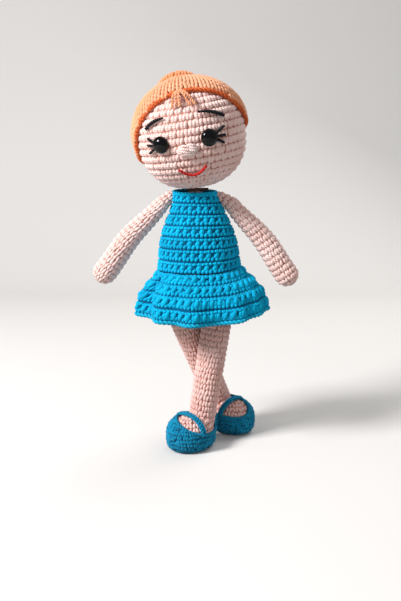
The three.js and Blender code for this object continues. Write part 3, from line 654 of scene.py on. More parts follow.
def make_hair_cap():
    """Cap: an outer and an inner wall from the crown to the hairline, each point a share of the
    hairline's angle down from the crown, under ribs of stitches that run down from the crown."""
    columns, rows = 96, 24
    turn = turns_round(columns)
    walls = []
    for lift, order in ((CAP_LIFT - CAP_CLOTH, 1), (CAP_LINING, -1)):
        share = np.linspace(1, CAP_POLE, rows)[::order, None]
        direction = hair_direction(turn[None], share * hairline_angle(turn, lift)[None])
        walls.append(on_head(over_head(direction, lift)))
    surface = hair_surface(CAP_LIFT)
    along = np.arange(surface.length - CAP_START, 0, -HAIR_STEP)
    ribs = round(FULL_TURN * (HEAD_WIDTH + CAP_LIFT) / HAIR_RIB)
    rounds = along, np.full(len(along), ribs), np.zeros(len(along))
    one_stitch = single_crochet(HAIR_RIB, HAIR_STEP * HAIR_OVERLAP, HAIR_YARN, bulge=0.2)
    stitches = crochet(surface, rounds, one_stitch, wander=0.03,
                       keep=lambda p: inside_hairline(head_frame(p)) > -CAP_PAST)
    cap = make_piece("hair_cap_cloth", [closed_wall(walls)], hair_cotton, "head", cloths=1)
    ribbing = make_piece("hair_cap_ribbing", [stitches], hair_cotton, "head")
    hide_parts("hair_cap")


EDGING = {"radius": 1.3, "lift": 0.8, "past": 1.1, "pitch": 4.4}


def make_hair_edging():
    """Edging: a rope of two plies along the hairline, a little in front of the cap."""
    turn = turns_round(420)
    direction = hair_direction(turn, hairline_angle(turn, EDGING["lift"], EDGING["past"]))
    path = on_head(over_head(direction, EDGING["lift"]))
    rope = plied(path, EDGING["radius"], direction @ head_rotation.T, pitch=EDGING["pitch"], closed=True)
    # the rope's deeper ginger is painted shade along the hairline
    edging = make_piece("hair_edging_rope", rope, edging_cotton, "head")
    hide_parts("hair_edging")


BUN_RADIUS, BUN_SHARE = 14.2, 0.8
BUN_STITCH = 3.6, 3.2, 1.0
BUN_SUNK = 1.0         # its stitches go on this far under the cap's surface
bun_centre = np.array([-5.5, 22.0, 20.0])


def make_bun():
    """Bun: a flattened ball on the cap, worked where it stands clear of the cap."""
    rotation_ = head_rotation @ turn_between((0, 0, 1), unit(bun_centre))
    surface = lathe(round_outline(BUN_RADIUS, BUN_RADIUS * BUN_SHARE, 2, 2), rotation_, on_head(bun_centre))
    clear = HEAD_WIDTH + CAP_LIFT - BUN_SUNK
    stitches = worked(surface, BUN_STITCH, keep=lambda p: np.linalg.norm(head_frame(p), axis=-1) > clear)
    # The bun wears a darker copy of the hair yarn: painted shade
    bun = make_piece("hair_bun_skin", [skin(surface), stitches], shaded_bun_cotton, "head", cloths=1)
    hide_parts("hair_bun", "bun_stuffing")


# Face

EYES = {"left": (25.0, -2.0), "right": (-24.6, -1.2)}
EYE_RADIUS, EYE_HEIGHT, EYE_LIFT = 4.3, 3.3, 0.5
EYE_BACK = [[0, -1.6], [EYE_RADIUS * 0.9, -1.6], [EYE_RADIUS * 0.98, -0.6]]     # its rim, under the stitches
LASH_TIPS = {"left": [(42.4, 6.2), (42.0, -2.6), (39.2, -9.4)],
             "right": [(-38.8, 6.6), (-40.8, -0.2), (-40.0, -8.0)]}
LASH_SPREAD = 2.8
LASH_RADIUS, BROW_RADIUS, MOUTH_RADIUS = 0.78, 0.8, 0.72
NOSE = {"round": 1.8, "up": -9.6, "half_width": 5.0, "half_height": 2.5, "yarn": 1.15, "crown": 1.5,
        "edge": 0.6, "sink": 0.4, "pitch": 9.0}
NOSE_WIDTHS = 0.8, 1.0, 1.0, 0.8       # its stitches' shares of its width, from the lowest up
NOSE_PINCH, NOSE_ROUNDING, NOSE_THINNING = 0.35, 0.25, 0.3     # shares lost at ends, top and ends
MOUTH = {"middle": 3.5, "reach": 15.3, "low": -36.0, "rise": 8.8}
BROW = {"start": 18.5, "left_end": 46.0, "right_end": 42.0, "high": 23.5, "drop": 8.5, "bend": 20}
BROW_TAPER = [0, 0.4, 0.85, 1], [0.6, 1.1, 1.35, 1.1]     # its thickness at shares of its length
RELIEF = 0.3           # threads lie this high, over the stitches
END_GROWTH, END_LEAST = 12, 0.35       # a thread's squared thickness grows from this least at its ends


def make_eye(side):
    """Domed plastic eye: a quarter of an ellipse turned about the direction it looks in."""
    round_, up = EYES[side]
    angle = np.linspace(0, math.pi / 2, 24)
    dome = np.stack([EYE_RADIUS * np.cos(angle), EYE_HEIGHT * np.sin(angle)], -1)
    rotation_ = head_rotation @ turn_between((0, 0, 1), face_direction(round_, up))
    surface = lathe(np.concatenate([EYE_BACK, dome]), rotation_, on_face(round_, up, EYE_LIFT))
    eye = make_piece(f"{side}_eye_dome", [skin(surface, 0.0, columns=48, rows=60)], eye_acrylic,
                     "head")
    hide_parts(f"{side}_eye")


def thread_on_face(name, round_, up, radius, colour, node, taper=None, pitch=2.6):
    """Plied thread through places on the face, lying over the stitches, its ends rounded."""
    steps = 60
    places = smooth_path(np.stack([round_, up], -1), steps)
    path = on_face(places[:, 0], places[:, 1], RELIEF + radius)
    outward = face_direction(places[:, 0], places[:, 1]) @ head_rotation.T
    share = np.linspace(0, 1, steps)
    scale = np.clip(END_GROWTH * np.minimum(share, 1 - share) + END_LEAST, 0, 1) ** 0.5
    if taper is not None:
        scale = scale * np.interp(share, *taper)
    thread = make_piece(name, plied(path, radius, outward, pitch=pitch, taper=scale), colour, "head")
    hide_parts(node)


def make_face():
    """Eyes, brows, lashes, mouth and nose. A brow falls with the square of the distance past its
    bend, a lash is a straight thread, and the mouth rises with the square of the distance from
    its middle."""
    for side, sign in SIDES.items():
        make_eye(side)
        end = BROW[f"{side}_end"]
        round_ = np.linspace(BROW["start"], end, 7)
        fall = np.maximum(0, (round_ - BROW["bend"]) / (end - BROW["bend"])) ** 2
        thread_on_face(f"{side}_brow_thread", sign * round_, BROW["high"] - BROW["drop"] * fall, BROW_RADIUS,
                       black_cotton, f"{side}_eyebrow", taper=BROW_TAPER)
        eye_round, eye_up = EYES[side]
        root_round = eye_round + sign * (math.degrees(EYE_RADIUS / HEAD_WIDTH) - 1)
        for number, (tip_round, tip_up) in enumerate(LASH_TIPS[side]):
            root_up = eye_up + (1 - number) * LASH_SPREAD
            thread_on_face(f"{side}_lash_thread_{number + 1}", [root_round, tip_round], [root_up, tip_up],
                           LASH_RADIUS, black_cotton, f"{side}_lash_{number + 1}")
    across = np.linspace(-1, 1, 9)
    thread_on_face("mouth_yarn", MOUTH["middle"] + MOUTH["reach"] * across,
                   MOUTH["low"] + MOUTH["rise"] * across ** 2, MOUTH_RADIUS, red_cotton,
                   "mouth_thread", pitch=3.4)
    make_nose()


def make_nose():
    """Nose of four satin stitches across. Each heaps up as half an ellipse, the lowest and the
    highest a little less. Towards their ends they draw together with the square of the distance
    from the middle, and their yarn thins with its fourth power."""
    shapes = []
    degree = math.degrees(1 / HEAD_WIDTH)
    across = np.linspace(-1, 1, 25)
    for level, share in zip(np.linspace(-1, 1, len(NOSE_WIDTHS)), NOSE_WIDTHS):
        round_ = NOSE["round"] + across * NOSE["half_width"] * share * degree
        half_height = (NOSE["half_height"] - NOSE["edge"]) * (1 - NOSE_PINCH * across ** 2)
        up = NOSE["up"] + level * half_height * degree
        heap = NOSE["crown"] * np.sqrt(np.maximum(0, 1 - across ** 2)) * (1 - NOSE_ROUNDING * level ** 2)
        path = on_face(round_, up, RELIEF - NOSE["sink"] + heap)
        outward = face_direction(round_, up) @ head_rotation.T
        taper = 1 - NOSE_THINNING * across ** 4
        shapes += plied(path, NOSE["yarn"], outward, pitch=NOSE["pitch"], taper=taper)
    nose = make_piece("nose_satin_stitches", shapes, nose_cotton, "head")
    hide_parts("nose_stitch")


FRINGE_TIPS = [(-8.0, 32.2), (-3.4, 34.6), (0.6, 32.0), (12.6, 32.0), (18.7, 31.5)]
FRINGE_ROOT = {"round": 2.0, "up": 50.0, "spread": 1.12}
FRINGE_BOW = 1.3       # degrees of bow for each strand off the middle one
FRINGE_POWER = 1.3     # a strand moves aside with this power of the share of its length
FRINGE_LIFT = [0, 0.3, 0.5, 0.72, 1], [2.4, 3.4, 3.2, 1.6, 1.2]     # at shares of its length
FRINGE_YARN, FRINGE_PITCH = 0.75, 2.8


def make_fringe():
    """Loose strands that come from under the cap's first rib, pass over its edging and lie on the
    forehead, each bowed by half a sine wave."""
    share = np.linspace(0, 1, 50)
    for number, (tip_round, tip_up) in enumerate(FRINGE_TIPS):
        place = number - 2
        start = FRINGE_ROOT["round"] + place * FRINGE_ROOT["spread"]
        bow = place * FRINGE_BOW * np.sin(share * math.pi)
        round_ = start + (tip_round - start) * share ** FRINGE_POWER + bow
        up = FRINGE_ROOT["up"] + (tip_up - FRINGE_ROOT["up"]) * share
        path = on_face(round_, up, np.interp(share, *FRINGE_LIFT))
        outward = face_direction(round_, up) @ head_rotation.T
        rope = plied(path, FRINGE_YARN, outward, pitch=FRINGE_PITCH)
        strand = make_piece(f"fringe_yarn_{number + 1}", rope, hair_cotton, "head")
        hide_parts(f"fringe_strand_{number + 1}")


# Body and dress

DRESS = [(22.8, 98.0), (22.1, 104.0), (21.1, 112.5), (18.4, 122.0), (14.1, 132.0), (11.8, 141.0)]
DEPTH = 0.85
DRESS_WALL = 1.7
BAND = 6.3             # height of one row of the dress
DRESS_WIDTH = 4.1      # width of its stitches
DRESS_CLOTH, DRESS_LINING = -0.65, 0.1     # heights of the cloth's two sides over the wall's two sides
DRESS_SHORT = 0.2      # the cloth ends this far short of an edge, under the rope there
SWAY_HEIGHTS, SWAY = [98, 132, 141], [1.0, -0.1, -1.3]     # sideways shift at these heights
COLLAR_DIP, COLLAR_START = 1.7, 130    # the neckline dips this far at the front, from this height up
WAIST_RISE, WAIST_CALM = 2.2, 124      # the waist's rows rise this far at the doll's left, up to this height


def swayed(surface):
    """The same surface of the body, leaning a little to the doll's right from the waist up, with
    its neckline lower at the front and its waist higher at the doll's left. The dip grows with
    the square of the height past its start, and the rise shrinks evenly to its end."""
    def at(turn, along):
        points = surface.at(turn, along)
        height = points[..., 2]
        share = np.clip((height - COLLAR_START) / (DRESS[-1][1] - COLLAR_START), 0, 1)
        points[..., 0] += np.interp(height, SWAY_HEIGHTS, SWAY)
        low = np.clip((WAIST_CALM - height) / (WAIST_CALM - DRESS[0][1]), 0, 1)
        points[..., 2] -= COLLAR_DIP * share ** 2 * (0.5 + 0.5 * np.cos(turn))
        points[..., 2] += WAIST_RISE * low * np.maximum(np.sin(turn), 0) ** 2
        return points

    return Surface(at, surface.length)


def dress_surface(grow=0.0):
    """The bodice's oval form from waist to neckline, grown outwards by some millimetres."""
    return swayed(lathe(smooth_path(DRESS, 120) + [grow, 0], UPRIGHT, body_axis, DEPTH))


def dress_cloth(outer, inner, columns, rows, top=0.0):
    """Cloth of two walls, under the stitches outside and just off the inner surface, closed at
    the lower and the upper edge."""
    turn = turns_round(columns)[None]
    along = np.linspace(DRESS_SHORT, outer.length - top, rows)[:, None]
    inner_along = np.linspace(DRESS_SHORT, inner.length - top, rows)[::-1, None]
    return closed_wall([outer.raised(turn, along, DRESS_CLOTH),
                        inner.raised(turn, inner_along, DRESS_LINING)])


def dress_rows(surface, height, one_stitch):
    """Rows of the dress's stitch over a surface."""
    return crochet(surface, rounds_over(surface, DRESS_WIDTH, height), one_stitch, wander=0.04)


def level_out(path):
    """Directions away from the body's axis at a path's points."""
    return unit((path - body_axis) * [1, 1, 0])


def tall_stitch(width, height, foot=0.43):
    """One stitch of the dress: a ridge of two short loops along its top, a fat strand that slants
    up to the right below them, with a hole beside it, and two small loops at its foot, which lies
    this share of the height under the stitch's middle."""
    fat, thin = 1.38, 0.92
    flat, deep = PROUD - thin, 0.4 - PROUD + thin
    loop = thin, flat, 0.15 - flat
    strand = fat, PROUD - fat, 0.15 - PROUD + fat
    base = thin, flat, deep
    return stitch([
        ((-0.50, 0.30 * height), (0.02, 0.35 * height), *loop),
        ((0.00, 0.30 * height), (0.52, 0.35 * height), *loop),
        ((-0.48, -0.26 * height), (-0.08, 0.27 * height), *strand),
        ((-0.42, -foot * height), (-0.14, (0.29 - foot) * height), *base),
        ((0.06, -foot * height), (0.34, (0.32 - foot) * height), *base),
    ], width)


COLLAR_ROPE = {"radius": 1.0, "pitch": 4.0, "sink": -0.6}


def make_bodice():
    """Bodice: cloth, rows of the tall stitch, and a rope round the neckline."""
    outer = dress_surface()
    cloth = dress_cloth(outer, dress_surface(-DRESS_WALL), columns=96, rows=40, top=DRESS_SHORT)
    stitches = dress_rows(outer, BAND, tall_stitch(DRESS_WIDTH, BAND))
    bodice = make_piece("bodice_cloth", [cloth], dress_cotton, "torso", cloths=1)
    rows_of_stitches = make_piece("bodice_stitches", [stitches], dress_cotton, "torso")
    path = outer.raised(turns_round(240), outer.length, COLLAR_ROPE["sink"])
    rope = plied(path, COLLAR_ROPE["radius"], level_out(path), pitch=COLLAR_ROPE["pitch"], closed=True)
    rim = make_piece("neckline_rope", rope, dress_cotton, "torso")
    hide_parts("dress_bodice")


SKIRT = [(22.8, 0.0), (26.0, 4.4), (31.4, 11.0), (34.4, 18.0), (34.6, 24.6)]
SKIRT_DEPTH = 0.8
SKIRT_SHIFT, HEM_RISE, LEFT_RISE = 1.6, 2.6, 3.2
FOLD_DEPTH, FOLD_GROWTH, FOLD_SPREAD = 5.2, 1.4, 11.0
FOLD_MIDDLE = 0.5      # a ridge this high lies on the outline itself
FOLDS = [-76, -39, -10, 34, 56, 77, 112, 146, 181, 214, 249]     # their turns in degrees
CREASE = {"turn": -66, "lean": 9, "spread": 6.0, "depth": 3.6, "growth": 0.8}     # one sharp fold
SKIRT_TOP = 97.7
SKIRT_ROWS, SKIRT_FOOT = 4, 0.37       # the skirt's rows part a little at their feet
skirt_outline = smooth_path(SKIRT, 160)
skirt_distance = length_along(skirt_outline)
skirt_length = skirt_distance[-1]


def degrees_from(turn, place):
    """Degrees from a place to a turn in degrees, the shorter way round."""
    return (turn - place + 180) % 360 - 180


def skirt_point(turn, share, grow=0.0):
    """Oval bell: its half width and drop follow the outline, a sum of round ridges at the folds'
    turns deepens down the skirt, and the hem shifts and rises at the sides, most at the left. A
    ridge is e to the minus (degrees from it over its spread) squared, and the crease is one ridge
    turned inwards, times half a sine wave from the waist to the hem."""
    spot = share * (len(skirt_outline) - 1)
    half_width, drop = (np.interp(spot, np.arange(len(skirt_outline)), column) for column in skirt_outline.T)
    degrees = np.degrees(turn)
    ridges = np.exp(-(degrees_from(degrees[..., None], np.array(FOLDS)) / FOLD_SPREAD) ** 2).sum(-1)
    past_crease = degrees_from(degrees, CREASE["turn"] + CREASE["lean"] * share)
    deepening = np.sin(np.clip(share, 0, 1) ** CREASE["growth"] * math.pi)
    crease = np.exp(-(past_crease / CREASE["spread"]) ** 2) * deepening
    fold = FOLD_DEPTH * np.maximum(share, 0) ** FOLD_GROWTH * (ridges - FOLD_MIDDLE)
    fold = fold - CREASE["depth"] * crease
    at_left = np.sin(turn) > 0
    rise = share * (HEM_RISE + LEFT_RISE * at_left) + (1 - share) * WAIST_RISE * at_left
    reach = half_width + fold + grow
    depth = half_width * (DEPTH + (SKIRT_DEPTH - DEPTH) * share) + fold + grow
    return np.stack([body_axis[0] + SWAY[0] + reach * np.sin(turn) + SKIRT_SHIFT * share,
                     body_axis[1] - depth * np.cos(turn),
                     SKIRT_TOP - drop + rise * np.sin(turn) ** 2], -1)


def even_turns():
    """How far to shift equal turns at each share of the skirt's length, so that they come out
    equally far apart along its folded edge."""
    rows, columns = 33, 720
    turn = np.linspace(0, FULL_TURN, columns + 1)
    share = np.linspace(0, 1, rows)[:, None]
    rings = skirt_point(turn + 0 * share, share + 0 * turn)
    step = np.linalg.norm(np.diff(rings, axis=1), axis=2)
    length = np.concatenate([np.zeros((rows, 1)), step.cumsum(1)], 1)
    return np.stack([np.interp(turn, ring * FULL_TURN / ring[-1], turn) - turn for ring in length])


skirt_shifts = even_turns()


def skirt_at(turn, along, grow=0.0):
    """The skirt by its length upwards from the hem, with turns that keep its stitches even."""
    distance = skirt_length - np.asarray(along)
    share = np.interp(distance, skirt_distance, np.linspace(0, 1, len(skirt_distance))) + 0 * turn
    rows, columns = skirt_shifts.shape[0] - 1, skirt_shifts.shape[1] - 1
    row, column = np.clip(share, 0, 1) * rows, (turn / FULL_TURN % 1) * columns
    i, j = np.minimum(row.astype(int), rows - 1), np.minimum(column.astype(int), columns - 1)
    down, across = row - i, column - j
    upper = skirt_shifts[i, j] * (1 - across) + skirt_shifts[i, j + 1] * across
    lower = skirt_shifts[i + 1, j] * (1 - across) + skirt_shifts[i + 1, j + 1] * across
    return skirt_point(turn + upper * (1 - down) + lower * down, share, grow)


def squashed(piece):
    """Gives a piece of the skirt its own copy of its mesh data."""
    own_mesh(piece)


def turned_inward(one_stitch):
    """The same stitch seen from the other side of the cloth: its heights change sign, and its
    faces run the other way round."""
    offsets, faces, maps = one_stitch
    return offsets * [1, 1, -1], [face[:, ::-1] for face in faces], [strand[:, ::-1] for strand in maps]


HEM_ROPE = {"radius": 1.2, "pitch": 4.6, "inset": 0.35 * DRESS_WALL, "drop": 0.45}


def make_skirt():
    """Skirt: cloth, rows of the tall stitch outside and inside, and a rope along the hem."""
    outer = Surface(skirt_at, skirt_length)
    inner = Surface(lambda turn, along: skirt_at(turn, along, -DRESS_WALL), skirt_length)
    height = skirt_length / SKIRT_ROWS
    one_stitch = tall_stitch(DRESS_WIDTH, height, SKIRT_FOOT)
    stitches = [dress_rows(outer, height, one_stitch), dress_rows(inner, height, turned_inward(one_stitch))]
    cloth = dress_cloth(outer, inner, columns=180, rows=36)
    skirt = make_piece("skirt_cloth", [cloth], dress_cotton, "torso", cloths=1)
    rows_of_stitches = make_piece("skirt_stitches", stitches, dress_cotton, "torso")
    path = skirt_at(turns_round(700), 0.0, -HEM_ROPE["inset"]) - [0, 0, HEM_ROPE["drop"]]
    rope = plied(path, HEM_ROPE["radius"], level_out(path), pitch=HEM_ROPE["pitch"], closed=True)
    hem = make_piece("hem_rope", rope, hem_cotton, "torso")
    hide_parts("dress_skirt")
    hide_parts("dress_hem_edging")
    for piece in (skirt, rows_of_stitches, hem):
        squashed(piece)


TORSO_BASE, TORSO_POWER = 94.5, 3.2
UNDER_DRESS = 0.5      # room between the body and the dress
NECK_START = 134.0
NECK = [[8.4, 136.0], [5.6, 137.4], [4.9, 139.5], [4.6, 141.0], [0.0, 141.6]]   # short neck inside the collar
BELOW_STITCH, NECK_STITCH = (4.0, 3.9, 1.0), (3.4, 3.2, 0.9)
BELOW_REACH, NECK_REACH = 22, 12       # the body is worked this far up from its base, and down from the top
BODY_SINK, BODY_CLOTH = 0.5, -1.2      # its stitches are sunk by this, and its cloth lies this high
NECK_JOIN = {"radius": 5.4, "height": 141.6, "yarn": 0.75, "pitch": 2.6}


def make_torso():
    """Body: a quarter of a superellipse under the dress's own form, and a neck. It is worked where
    it can be seen, and its join to the head is a ring of sewing thread."""
    sides = smooth_path(DRESS, 120) - [DRESS_WALL + UNDER_DRESS, 0]
    angle = np.linspace(0, math.pi / 2, 40)[:-1]
    low_radius, low_height = sides[0]
    base = np.stack([low_radius * np.sin(angle) ** (2 / TORSO_POWER),
                     low_height - (low_height - TORSO_BASE) * np.cos(angle) ** (2 / TORSO_POWER)], -1)
    outline = np.concatenate([base, sides[sides[:, 1] < NECK_START], NECK])
    surface = swayed(lathe(outline, UPRIGHT, body_axis, DEPTH))
    below = rounds_over(surface, *BELOW_STITCH[:2], 0, BELOW_REACH)
    above = rounds_over(surface, *NECK_STITCH[:2], surface.length - NECK_REACH, surface.length)
    shapes = [skin(surface, BODY_CLOTH, rows=80),
              crochet(surface, below, single_crochet(*BELOW_STITCH), lift=-BODY_SINK),
              crochet(surface, above, single_crochet(*NECK_STITCH), lift=-BODY_SINK)]
    torso = make_piece("body_skin", shapes, skin_cotton, "torso", cloths=1)
    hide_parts("torso", "torso_stuffing")
    turn = turns_round(160)
    out = np.stack([np.cos(turn), np.sin(turn), 0 * turn], -1)
    path = body_axis + out * NECK_JOIN["radius"] + [0, 0, NECK_JOIN["height"]]
    thread = plied(path, NECK_JOIN["yarn"], out, pitch=NECK_JOIN["pitch"], closed=True)
    # dark brown thread: painted shadow in the gap between chin and collar
    seam = make_piece("neck_whip_stitches", thread, shadow_brown_sewing_cotton, "neck")
    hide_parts("neck_seam")


# Limbs


def limb_profile(span, radii):
    """Tapering limb about its own Z: a round end, sides through the radii, and a round root."""
    root, end = radii[0], radii[-1]
    angle = np.linspace(0, math.pi / 2, 40)
    spots = np.linspace(0, -span, len(radii))
    curve = smooth_path(np.stack([radii, spots], -1), 160)[::-1]
    low = np.stack([end * np.sin(angle), -span - end * np.cos(angle)], -1)[:-1]
    high = np.stack([root * np.cos(angle), root * np.sin(angle)], -1)[1:]
    return np.concatenate([low, curve, high])


ARM_SPAN, ARM_BOW = 46.1, 1.5
ARM_DEGREES = {"left": 36.9, "right": 39.6}
ARM_RADII = [4.1, 5.4, 6.2, 6.5]
ARM_STITCH = 3.5, 3.2, 0.98
ARM_START = 1.65       # the arm starts this far above its joint,
ROOT_SHIFT = {"left": 1.25, "right": 0.55}     # and this far under it
ROOT_RADII, ROOT_END = [4.0, 3.6, 2.9], (-5.8, 4.4)   # the sewn-on end tapers to this place, from its start
ROOT_STITCH = 3.4, 3.0, 0.95
SHOULDER_SWAY = 0.7    # share of the neckline's sideways shift
# The sewn join lies this far inwards and above the joint, hidden by the arm
ARM_JOIN = {"in": 5.45, "rise": 3.7, "radius": 1.8, "yarn": 0.6, "pitch": 2.2}


def make_arm(side, sign):
    """Arm: a tapering limb that bows outwards by a squared half sine wave, and its sewn join."""
    pivot = joint_place[f"{side}_arm_raise"]
    straight = lathe(limb_profile(ARM_SPAN + ARM_START, ARM_RADII), UPRIGHT, np.array([0, 0, ARM_START]))
    hang = rotation("y", -sign * ARM_DEGREES[side])

    def bowed(turn, along):
        points = straight.at(turn, along)
        share = np.clip(-points[..., 2] / ARM_SPAN, 0, 1)
        bow = ARM_BOW * np.sin(share * math.pi) ** 2 - ROOT_SHIFT[side] * (1 - share) ** 2
        return (points + [sign, 0, 0] * bow[..., None]) @ hang.T + pivot

    surface = Surface(bowed, straight.length)
    stitches = worked(surface, ARM_STITCH, reach=0.53, lean=0.03)
    arm = make_piece(f"{side}_arm_skin", [skin(surface, columns=40, rows=60), stitches], skin_cotton,
                     f"{side}_arm", cloths=1)
    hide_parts(f"{side}_arm", f"{side}_arm_stuffing")
    make_arm_root(side, sign, pivot + hang @ [-sign * ROOT_SHIFT[side], 0, ARM_START])
    turn = turns_round(96)
    out = np.stack([0 * turn, np.cos(turn), np.sin(turn)], -1)
    path = pivot + [-sign * ARM_JOIN["in"], 0, ARM_JOIN["rise"]] + out * ARM_JOIN["radius"]
    thread = plied(path, ARM_JOIN["yarn"], out, pitch=ARM_JOIN["pitch"], closed=True)
    seam = make_piece(f"{side}_shoulder_stitches", thread, shadow_brown_sewing_cotton, f"{side}_shoulder")
    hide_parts(f"{side}_shoulder_seam")


def make_arm_root(side, sign, start):
    """Gathered end of the arm between its round root and the dress, where it is sewn on."""
    end = np.array([sign * ROOT_END[0] + SHOULDER_SWAY * SWAY[-1], 0, ROOT_END[1]])
    surface = lathe(limb_profile(np.linalg.norm(end), ROOT_RADII), turn_between((0, 0, -1), unit(end)), start)
    stitches = worked(surface, ROOT_STITCH)
    root = make_piece(f"{side}_arm_root_skin", [skin(surface), stitches], skin_cotton, f"{side}_shoulder",
                      cloths=1)


# Legs and shoes

LEG_RADII = [7.9, 8.0, 7.7, 7.3]
LEG_STITCH = 3.6, 3.1, 1.0
ANKLE_HEIGHT, ANKLE_SETBACK = 12.5, 8.2
# Each ankle's place, the foot's turn and the opening's lean, in degrees
FEET = {"left": {"place": (2.0, -2.8), "turn": -41, "lean": -31},
        "right": {"place": (14.3, 25.4), "turn": 41, "lean": 31}}
SHOE_LENGTH, SHOE_WIDTH, SHOE_HEIGHT = 31.0, 24.6, 20.0
SHOE_MIDDLE = np.array([0, 0, SHOE_HEIGHT / 2])
SOLE_POWER, UPPER_POWER = 4.0, 2.1
SOLE_FLAT, SOLE_THICKNESS = 0.5, 2.2
SKIN_WALL, FIT = 2.0, 0.3
MOUTH_PITCH = 8        # both openings lean this far to the toe
MOUTHS = {"left": (25.5, 20.5, 2.1), "right": (29.0, 18.0, 0.6)}     # their length, width and setback
STRAP_WIDTH, STRAP_FRONT = 3.4, 3.7
STRAP_TUCK = 0.8       # its ends go on this far under the rim
SHOE_STITCH = 2.5, 2.2, 0.86
SHOE_CLOTH = 0.8       # the shoe's cloth lies this far under its stitches' surface
RIM_ROPE, STRAP_ROPE = (0.95, 3.6), (0.95, 3.4)     # yarn radius and pitch
RIM_SINK, RIM_GROW = 0.4, 0.2
LEG_CLEARANCE, CLEAR_UNDER = 7.7, 5.0     # a shoe's heel stretches round the leg from this far out
# Stitches go on this far beyond the opening's edge, and the leg's down to this far over the shoe
LEG_PAST_RIM, FOOT_PAST_RIM, SHOE_PAST_RIM, LEG_OVER_SHOE = 0.6, 1.5, 0.8, 0.9
FOOT_IN_LEG = 1.0      # the foot's stitches go on this far into the leg
FOOT_LIFT = 1.0        # and stand this much higher, to fill the opening
FLOOR_GAP = 0.25


def foot_place(side):
    """Rotation and origin of a foot's own frame, whose X points to the toe."""
    toe = FEET[side]["turn"] - 90
    along = np.array([math.cos(math.radians(toe)), math.sin(math.radians(toe)), 0])
    return rotation("z", toe), body_axis + [*FEET[side]["place"], 0] + along * ANKLE_SETBACK


def to_foot(points, side):
    """Points of the row frame in a foot's own frame."""
    foot_turn, origin = foot_place(side)
    return (points - origin) @ foot_turn


def from_foot(points, side):
    """Points of a foot's own frame in the row frame."""
    foot_turn, origin = foot_place(side)
    return points @ foot_turn.T + origin


def leaned(points, side, back=False):
    """Points turned as a shoe's opening is: about the line from heel to toe at half the shoe's
    height, and to the toe."""
    matrix = rotation("x", FEET[side]["lean"]) @ rotation("y", MOUTH_PITCH)
    return (points - SHOE_MIDDLE) @ (matrix if back else matrix.T) + SHOE_MIDDLE


def oval_surface(side, length, width, low, high):
    """Rounded shoe form: a superellipse turned about Z and narrowed across, with its X to the toe."""
    foot_turn, origin = foot_place(side)
    outline = round_outline(length / 2, (high - low) / 2, SOLE_POWER, UPPER_POWER) + [0, (high + low) / 2]
    narrow = np.diag([1.0, width / length, 1.0])
    return lathe(outline, foot_turn @ narrow @ rotation("z", 90), origin)


def inside_mouth(points, side, grow=0.0):
    """How far inside the shoe's oval opening points of the row frame lie: 1 less their distance
    from its middle in half lengths and half widths."""
    local = leaned(to_foot(points, side), side, back=True)
    length, width, setback = MOUTHS[side]
    x = (local[..., 0] + setback) / (length / 2 + grow)
    y = local[..., 1] / (width / 2 + grow)
    return np.where(local[..., 2] > SHOE_MIDDLE[2], 1 - np.hypot(x, y), -1)


def shoe_reach(points, grow=0.0):
    """Below 1 inside the shoe's outer form, above 1 outside it: the superellipse's sum of powers
    of the distance out and the height, in the foot's frame."""
    half_length, half_width = SHOE_LENGTH / 2 + grow, SHOE_WIDTH / 2 + grow
    half_height = SHOE_HEIGHT / 2 + SOLE_FLAT / 2 + grow
    level = np.hypot(points[..., 0] / half_length, points[..., 1] / half_width)
    height = (points[..., 2] - (SHOE_HEIGHT / 2 - SOLE_FLAT / 2)) / half_height
    power = np.where(height < 0, SOLE_POWER, UPPER_POWER)
    return level ** power + np.abs(height) ** power


def up_to_shoe(x, y, side, inset=0.0):
    """Points at x and y of the opening's leaned frame that lie on the shoe's form, or under it by
    an inset."""
    z = halved(lambda height: shoe_reach(leaned(np.stack([x, y, height], -1), side), -inset) < 1,
               np.full(len(x), SHOE_HEIGHT / 2), np.full(len(x), 2 * SHOE_HEIGHT))
    return leaned(np.stack([x, y, z], -1), side)


def mouth_rim(side, count, inset=0.0, grow=0.0):
    """Loop where the opening's leaned oval column meets the shoe."""
    turn = turns_round(count)
    length, width, setback = MOUTHS[side]
    x = (length / 2 + grow) * np.cos(turn) - setback
    return up_to_shoe(x, (width / 2 + grow) * np.sin(turn), side, inset)


def fitted(shape, hip, ankle):
    """A part of the shoe that goes round its leg and doesn't sink into the floor. From just under
    the ankle up, a point at distance d from the leg's axis moves out to (d^8 + r^8)^(1/8)."""
    points, faces, strands = shape
    way = unit(hip - ankle)
    along = (points - ankle) @ way
    nearest = ankle + along[:, None] * way
    distance = np.linalg.norm(points - nearest, axis=-1)
    radius = LEG_CLEARANCE * np.clip((along + CLEAR_UNDER) / CLEAR_UNDER, 0, 1)
    wanted = (distance ** 8 + radius ** 8) ** (1 / 8)
    points = nearest + (points - nearest) * (wanted / np.maximum(distance, 1e-6))[:, None]
    points[:, 2] = np.maximum(points[:, 2], FLOOR_GAP)
    return points, faces, strands


